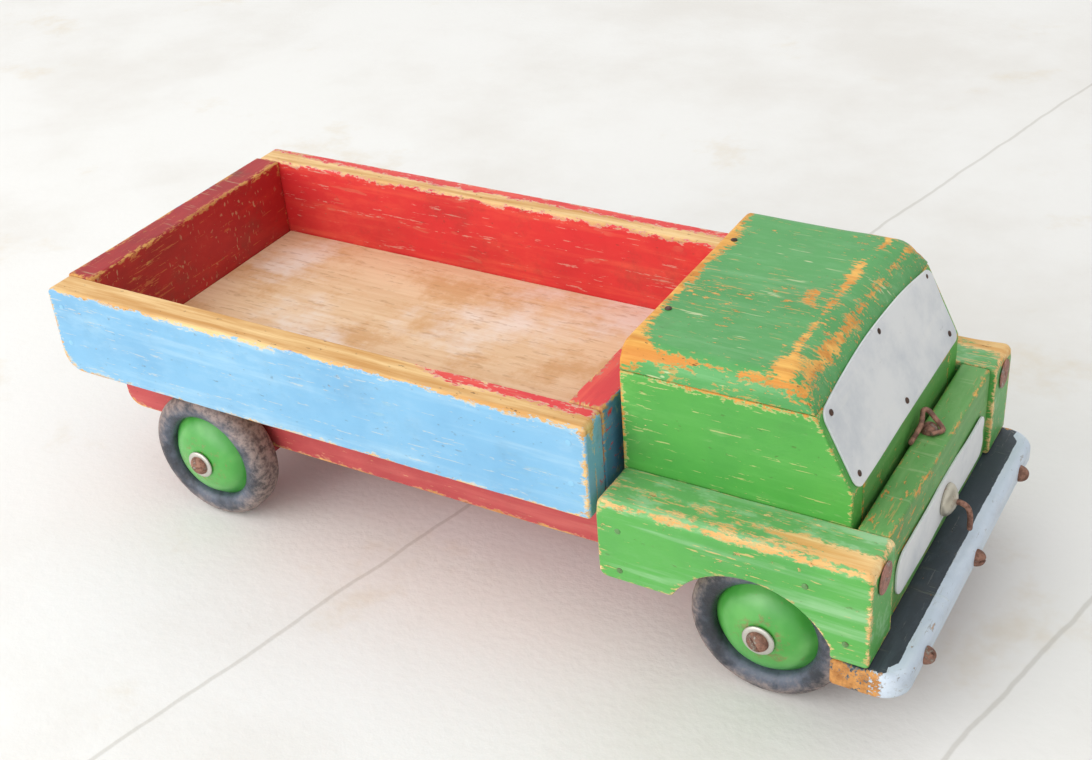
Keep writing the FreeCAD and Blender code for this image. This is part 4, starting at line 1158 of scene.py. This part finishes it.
def tin_plate(name, centre, up, width, height, corner, seed, node, metal, wave=0.35, rise=0.0):
    """A rounded rectangle across the toy and along `up`; height above it = wave * unevenness.

    Above its middle it grows by rise * (1 - (distance from the middle line / half width) squared).
    """
    across, up = np.array([0.0, 1.0, 0.0]), np.array(up, float)
    shape = rectangle((-width / 2, -height / 2), (width / 2, height / 2), (corner,) * 4)
    flat, faces, _ = sawn(shape, -TIN / 2, TIN / 2, 2, (0.18, 0.18))
    ripple = wave * (uneven(flat * [1, 1, 0], seed, 60, 2) + 0.4) * ramp(np.abs(flat[:, 1]), 0, height / 2)
    lift = flat[:, 2] + np.maximum(ripple, 0)
    bulge = rise * (1 - (2 * flat[:, 0] / width) ** 2) * ramp(flat[:, 1], 0, height / 2)
    points = (centre + flat[:, :1] * across + (flat[:, 1] + bulge)[:, None] * up
              + lift[:, None] * np.cross(across, up))
    return finish_piece(make_piece(name, points, faces), "root", metal, "sheet_metal", node)


plate_low, plate_high = corners("windscreen_plate")
LEAN = math.atan(SLOPE)
up_slope = np.array([-math.sin(LEAN), 0, math.cos(LEAN)])
off_slope = np.array([math.cos(LEAN), 0, math.sin(LEAN)])
screen_foot = np.array([corners("cab_side_right")[1][0], 0, SILL])
tin_plate("plate_windscreen", screen_foot + up_slope * 14.2 + off_slope * 0.42, up_slope,
          plate_high[1] - plate_low[1], 28.4, 3.6, 111, "windscreen_plate", plate_metal, rise=4.0)
low, high = corners("grille_plate")
tin_plate("plate_grille", (low + high) / 2, (0, 0, 1), high[1] - low[1], high[2] - low[2], 6.0, 113,
          "grille_plate", grille_metal, wave=0.5)
print("windscreen leans back", round(math.degrees(LEAN), 1), "degrees")

# %% [markdown]
# ## Nails and tacks
# Every board is nailed, and each nail shows only a small dark head. A head is a short
# profile spun about the nail; all the heads of one kind are joined into one mesh.

# %% Nail heads


def nails(name, places, ways, radius, height, node, body="root", steel=None):
    """Profile: a low dome of the given height over a shank of half the radius."""
    profile = [(radius * 0.5, -4), (radius * 0.5, -0.2), (radius, -0.15), (radius, height * 0.35)]
    profile += [(radius * math.cos(a), height * (0.35 + 0.65 * math.sin(a)))
                for a in np.radians((25, 50, 70, 85))]
    parts = [spun(profile, place, way, 20) for place, way in zip(places, ways)]
    return finish_piece(make_piece(name, *joined(parts)), body, steel or nail_steel, "rusty_steel", node)




def sideways(places):
    """Each nail points away from the toy's middle plane."""
    return [(0, np.sign(place[1]), 0) for place in places]


ROOF_NAIL_SEAT = 123.4
tail_x, front_x = middle("bed_tail_board")[0], middle("bed_front_board")[0]
bed_places = [(x, y, z) for x in (tail_x, front_x) for y in (-71.4, 71.4) for z in (77.0, 93.5)]
nails("nails_bed", bed_places, sideways(bed_places), 1.2, 0.2, "bed_nails", "bed", blue_steel)
back_x, bonnet_front = corners("cab_roof_board")[0][0] + 5, corners("bonnet_block")[1][0]
roof_places = [(back_x, y, ROOF_NAIL_SEAT) for y in (-26.5, 26.5)]
nails("nails_roof", roof_places, [(0, 0, 1)] * 2, 1.2, 0.5, "roof_nails")
fender_spots = ((back_x + 3, 65), (bonnet_front - 19.7, 65), (bonnet_front - 6, 46.5), (back_x + 3, 48.5))
fender_places = [(x, y, z) for y in (-74.1, 74.1) for x, z in fender_spots]
nails("nails_fender", fender_places, sideways(fender_places), 1.1, 0.35, "fender_nails", steel=painted_steel)
screen_spots = ((3.7, -46.0), (3.7, -1.0), (4.3, 45.0), (26.0, -46.0), (29.6, 0.5), (27.0, 46.0))
screen_places = [screen_foot + up_slope * up + off_slope * 0.8 + np.array([0, y, 0]) for up, y in screen_spots]
nails("tacks_windscreen", screen_places, [off_slope] * 6, 1.1, 0.6, "windscreen_nails")
LIGHT_Y, LIGHT_Z = 63.85, 68.5
disc_x = corners("fender_right")[1][0] + 0.8
light_places = [(disc_x, y, LIGHT_Z) for y in (-LIGHT_Y, LIGHT_Y)]
nails("nails_headlight", light_places, [(1, 0, 0)] * 2, 1.0, 0.35, "headlight_nails", steel=disc_steel)
every = (bed_places, roof_places, fender_places, screen_places, light_places)
print(sum(len(places) for places in every), "nail heads")

# %% [markdown]
# ## Headlight discs
# Two rusty discs stand in for headlamps on the fenders' front faces. Each is a dished
# washer shape: a rim, a shallow hollow and a flat middle under its nail.

# %% Headlights
for side, sign in (("right", -1), ("left", 1)):
    profile = [(0.6, -0.7), (5.2, -0.7), (5.5, -0.55), (5.5, -0.25), (5.2, -0.08), (4.4, 0.0), (3.0, 0.06),
               (1.6, 0.08), (0.6, 0.08)]
    place = (disc_x, LIGHT_Y * sign, LIGHT_Z)
    disc = make_piece("disc_headlight_" + side, *spun(profile, place, (1, 0, 0), 48))
    finish_piece(disc, "root", disc_steel, "rusty_steel", "headlight_" + side)
print("two headlight discs")

# %% [markdown]
# ## Screws and washers
# Round-headed screws hold the wheels and the bumper. A dome alone would look like a
# rivet, so each head gets its slot, turned to its own angle as a hand leaves it.

# %% Screw heads


def screws(name, places, ways, radius, height, angles, node):
    parts = [slotted_dome(place, way, radius, height, 1.1, height * 0.45, angle)
             for place, way, angle in zip(places, ways, angles)]
    return finish_piece(make_piece(name, *joined(parts)), "root", screw_steel, "rusty_steel", node)


TYRE_MIDDLE, HUB_FACE, WASHER_SEAT, SCREW_SEAT, BUMPER_SCREW_Z = 54.15, 64.2, 64.5, 65.75, 33.5
hubs = {corner: middle("hub_bush_" + corner) for corner in CORNERS}
signs = {corner: 1 if corner.endswith("left") else -1 for corner in CORNERS}
ways = {corner: (0, signs[corner], 0) for corner in CORNERS}


def on_axle(corner, distance):
    """The place on a wheel's axle this far from the toy's middle plane."""
    return hubs[corner][0], distance * signs[corner], hubs[corner][2]


screws("screws_wheel", [on_axle(corner, SCREW_SEAT) for corner in CORNERS], ways.values(), 4.0, 2.4,
       (20, 35, 70, 100), "wheel_screws")
bumper_front = corners("bumper_board")[1][0] - 0.05
screws("screws_bumper", [(bumper_front, y, BUMPER_SCREW_Z) for y in (-54.0, 0.0, 54.0)], [(1, 0, 0)] * 3, 3.1,
       3.3, (15, 80, 140), "bumper_screws")
washer = [(2.4, 0.05), (5.5, 0.05), (5.8, 0.3), (5.8, 0.75), (5.4, 1.05), (4.4, 1.2), (2.4, 1.2)]
parts = [spun(washer, on_axle(corner, WASHER_SEAT), ways[corner], 48, loop=True) for corner in CORNERS]
finish_piece(make_piece("washers_wheel", *joined(parts)), "root", zinc, "zinc_steel", "wheel_washers_outer")
print("7 screws, 4 washers")

# %% [markdown]
# ## Wheels
# A wheel is two pressed steel discs that grip a thick rubber ring. Both are profiles
# spun about the axle. The disc carries how close each ring is to the places where its
# paint has rusted, and the tyre how far round onto the tread a point is.

# %% Hub discs and tyres


def disc_profile():
    """Flange, a rounded step up, a broad dome and a flat seat for the washer, as (radius, height)."""
    return np.array([(3.0, -0.9), (12.0, -3.6), (18.4, -8.6), (19.0, -8.4), (19.0, -7.6), (18.5, -7.1),
                     (17.8, -6.6), (17.0, -5.6), (16.0, -4.4), (14.8, -3.3), (13.4, -2.4), (11.8, -1.65),
                     (10.2, -1.1), (8.8, -0.7), (7.6, -0.35), (6.6, -0.1), (6.0, -0.01), (4.6, 0.0),
                     (3.0, 0.0)])


def tyre_profile():
    """A rounded ring from 18.6 to 28 mm: each wall swells to its widest at 22.6, then rounds to the tread."""
    half = 7.15
    wall = [(18.6, -half + 2.6), (19.1, -half + 1.5), (20.0, -half + 0.6), (21.2, -half + 0.12),
            (22.6, -half)]
    shoulder = bead((22.9, -half + 5.0), 5.0, -82, -12, 9)
    tread = [(27.97, -1.0), (28.0, 0.0)]
    lower = wall + shoulder + tread
    return np.array(lower + [(r, -h) for r, h in lower[::-1][1:]])


def wheel_ring(name, profile, corner, distance, field, wear):
    """A profile spun about a wheel's axle, with a field that is the same all round each ring."""
    points, faces = spun(profile, on_axle(corner, distance), ways[corner], WHEEL_SIDES, loop=True)
    return make_piece(name + corner, points, faces, {field: np.repeat(wear, WHEEL_SIDES)})


WHEEL_SIDES = 96
disc_rings, tyre_rings = disc_profile(), tyre_profile()
rusted = 1.0 - np.abs(disc_rings[:, 0] - 8.0) * 0.42
for corner in CORNERS:
    disc = wheel_ring("disc_hub_", disc_rings, corner, HUB_FACE, "rub", rusted)
    finish_piece(disc, "wheel_" + corner, hub_green, "hub_paint", "hub_outer_disc_" + corner)
    tyre = wheel_ring("ring_tyre_", tyre_rings, corner, TYRE_MIDDLE, "tread", tyre_rings[:, 0] - 25.2)
    finish_piece(tyre, "wheel_" + corner, rubber, "tyre_rubber", "tyre_" + corner)
print("four wheels")

# %% [markdown]
# ## Hook and clip
# A round screw collar with a bent wire hook sits on the grille, and a wire clip under a
# screw on the bonnet. Both are thick rusty wire carried along a few given places.

# %% Hook and clip
HOOK_WIRE, CLIP_WIRE, BONNET_TOP = 1.0, 0.9, 76
collar = [(0.5, 0.0), (5.6, 0.0), (6.0, 0.4), (6.0, 1.1), (5.6, 1.9), (4.5, 2.9), (2.9, 3.7), (1.6, 4.1),
          (0.5, 4.2)]
hook_foot, hook_y, hook_z = bonnet_front + 0.8, 3.0, 52.5
hook_route = smooth_path([(hook_foot + out, hook_y, hook_z - down) for out, down in
                          ((2.0, 0.0), (5.6, 0.0), (7.9, 1.3), (9.0, 4.6), (9.2, 9.6))], 8)
collar_piece = make_piece("collar_hook", *spun(collar, (hook_foot, hook_y, hook_z), (1, 0, 0), 48))
finish_piece(collar_piece, "root", collar_steel, "rusty_steel")
hook = make_piece("hook_front", *wire(hook_route, HOOK_WIRE))
finish_piece(hook, "root", rust_steel, "rusty_steel", "front_hook")
route = [(bonnet_front - back, y, BONNET_TOP + up) for back, y, up in
         ((10.6, -3.6, 0.9), (9.9, 0.2, 2.6), (9.6, 4.0, 4.6), (10.6, 8.4, 6.4), (9.2, 9.6, 6.2),
          (6.4, 9.0, 4.0), (3.4, 8.2, 1.2), (3.9, 6.4, 0.9), (5.6, 3.9, 1.2))]
clip = wire(smooth_path(route, 10), CLIP_WIRE)
finish_piece(make_piece("clip_bonnet", *clip), "root", rust_steel, "rusty_steel", "bonnet_clip")
dome = slotted_dome((bonnet_front - 7.6, 7.0, BONNET_TOP + 0.1), (0, 0, 1), 3.2, 3.0, 1.0, 1.2, 50)
finish_piece(make_piece("screw_bonnet_clip", *dome), "root", screw_steel, "rusty_steel", "bonnet_clip_screw")
print("hook stands", round(hook_route[:, 0].max() - bonnet_front, 1), "mm off the bonnet")

# %% [markdown]
# ## Pieces that keep their plain shape
# Axle blocks, bearers, bushes, the inner discs and the hinge are simple on the real toy
# and mostly hidden, so the frame's own meshes stay. They still get the same finishes.

# %% Finishes for the frame's own meshes
kept = {"front_axle_block": red_plain, "rear_axle_block": red_plain, "cab_base": green_plain,
        "bed_bearer_left": inner_wood, "bed_bearer_right": inner_wood, "bed_rear_bearer": inner_wood,
        "wheel_washers_inner": zinc}
for node in nodes.values():
    if node.name in kept:
        finish = kept[node.name]
    elif node.name.startswith(("hinge", "hub_bush", "hub_inner")):
        finish = rust_steel
    else:
        continue
    node.data.materials.clear()
    node.data.materials.append(finish)
print(len(kept), "named nodes finished")

# %% [markdown]
# ## Floor, light and camera
# The toy stands on pale stone in a bright room. One large soft light from the near rear
# side models the boards, and a bright world fills the shadows, as a window and white
# walls would. Two joints between the stone slabs run across the floor. A dark cloth in
# front of the bumper, which the camera doesn't see, keeps the faces there deeper in tone.

# %% Stage
stone = Finish("pale_stone")
mottle = stone.noise(6, 6, 1.0, rough=0.6)
grain = stone.noise(260, 3, 4.0)
tone = stone.blend(stone.step(mottle, 0.4, 0.7), colour("EDECE8"), colour("E4E1DB"))
stain = stone.noise(9, 6, 7.0, rough=0.65)
tone = stone.blend(stone.step(stain, 0.58, 0.72) * 0.5, tone, colour("DED2BC"))
wander = stone.noise(30, 3, 9.0)
along = stone.node("ShaderNodeVectorMath", {"operation": "DOT_PRODUCT"},
                   {0: stone.here, 1: (0.974, -0.225, 0.0)}, "Value") + wander * 0.004
for joint in (-0.022, 0.199):
    gap = stone.maths("ABSOLUTE", along - joint)
    tone = stone.blend((1.0 - stone.step(gap, 0.0004, 0.0014)) * 0.35, tone, colour("A8A294"))
stone.bump(grain, 0.0002)
stone.set(Base_Color=tone, Roughness=0.75)
ground = np.array([(-6000, -6000, 0), (6000, -6000, 0), (6000, 6000, 0), (-6000, 6000, 0)], float)
slab = make_piece("floor_slab", ground, [[0, 1, 2, 3]])
slab.data.materials.append(stone.material)

dull = Finish("dark_cloth")
dull.set(Base_Color=colour("6A665E"), Roughness=0.9)
hung = np.array([(800, -900, 0), (800, 900, 0), (800, 900, 330), (800, -900, 330)], float)
card = make_piece("dark_card", hung, [[3, 2, 1, 0]])
card.data.materials.append(dull.material)
card.visible_camera = False

world = bpy.data.worlds.new("bright_room")
bpy.context.scene.world = world
world.use_nodes = True
glow = world.node_tree.nodes["Background"].inputs
glow["Color"].default_value, glow["Strength"].default_value = (0.985, 0.99, 1.0, 1.0), 0.97


def soft_light(name, place, aim, size, power, tint=(1, 1, 1)):
    lamp = bpy.data.lights.new(name, "AREA")
    lamp.shape, lamp.size, lamp.energy, lamp.color = "DISK", size, power, tint
    holder = bpy.data.objects.new(name, lamp)
    holder.matrix_world = Matrix.Translation(place) @ (
        Vector(aim) - Vector(place)).to_track_quat("-Z", "Y").to_matrix().to_4x4()
    bpy.context.scene.collection.objects.link(holder)


soft_light("window", (-0.8, -1.2, 0.85), (0, 0, 0.05), 1.6, 12.5, (1.0, 0.985, 0.965))
soft_light("pale_yard", (-0.1, -1.1, 0.22), (0, 0, 0.03), 0.9, 3.0)
soft_light("white_wall", (1.3, -0.6, 0.8), (0.1, 0, 0.05), 1.2, 1.0)

# %% [markdown]
# ## Camera
# A short telephoto from above the front corner, tipped down and turned a few degrees.
# Its three directions are written out, because a hand-held camera is never level.

# %% Camera
right = Vector((0.864426, 0.497902, -0.069719))
up = Vector((-0.215476, 0.492194, 0.843395))
forward = Vector((-0.454243, 0.714030, -0.532751))
camera = bpy.data.objects.new("camera", bpy.data.cameras.new("camera"))
camera.data.lens, camera.data.sensor_width = 50.55, 36.0
camera.matrix_world = Matrix.Translation((0.27507, -0.42039, 0.37642)) @ Matrix(
    (right, up, -forward)).transposed().to_4x4()
bpy.context.scene.collection.objects.link(camera)
bpy.context.scene.camera = camera
bpy.context.scene.view_settings.view_transform = "Standard"

# %% [markdown]
# ## Update
# The view layer is updated once more at the end.

bpy.context.view_layer.update()
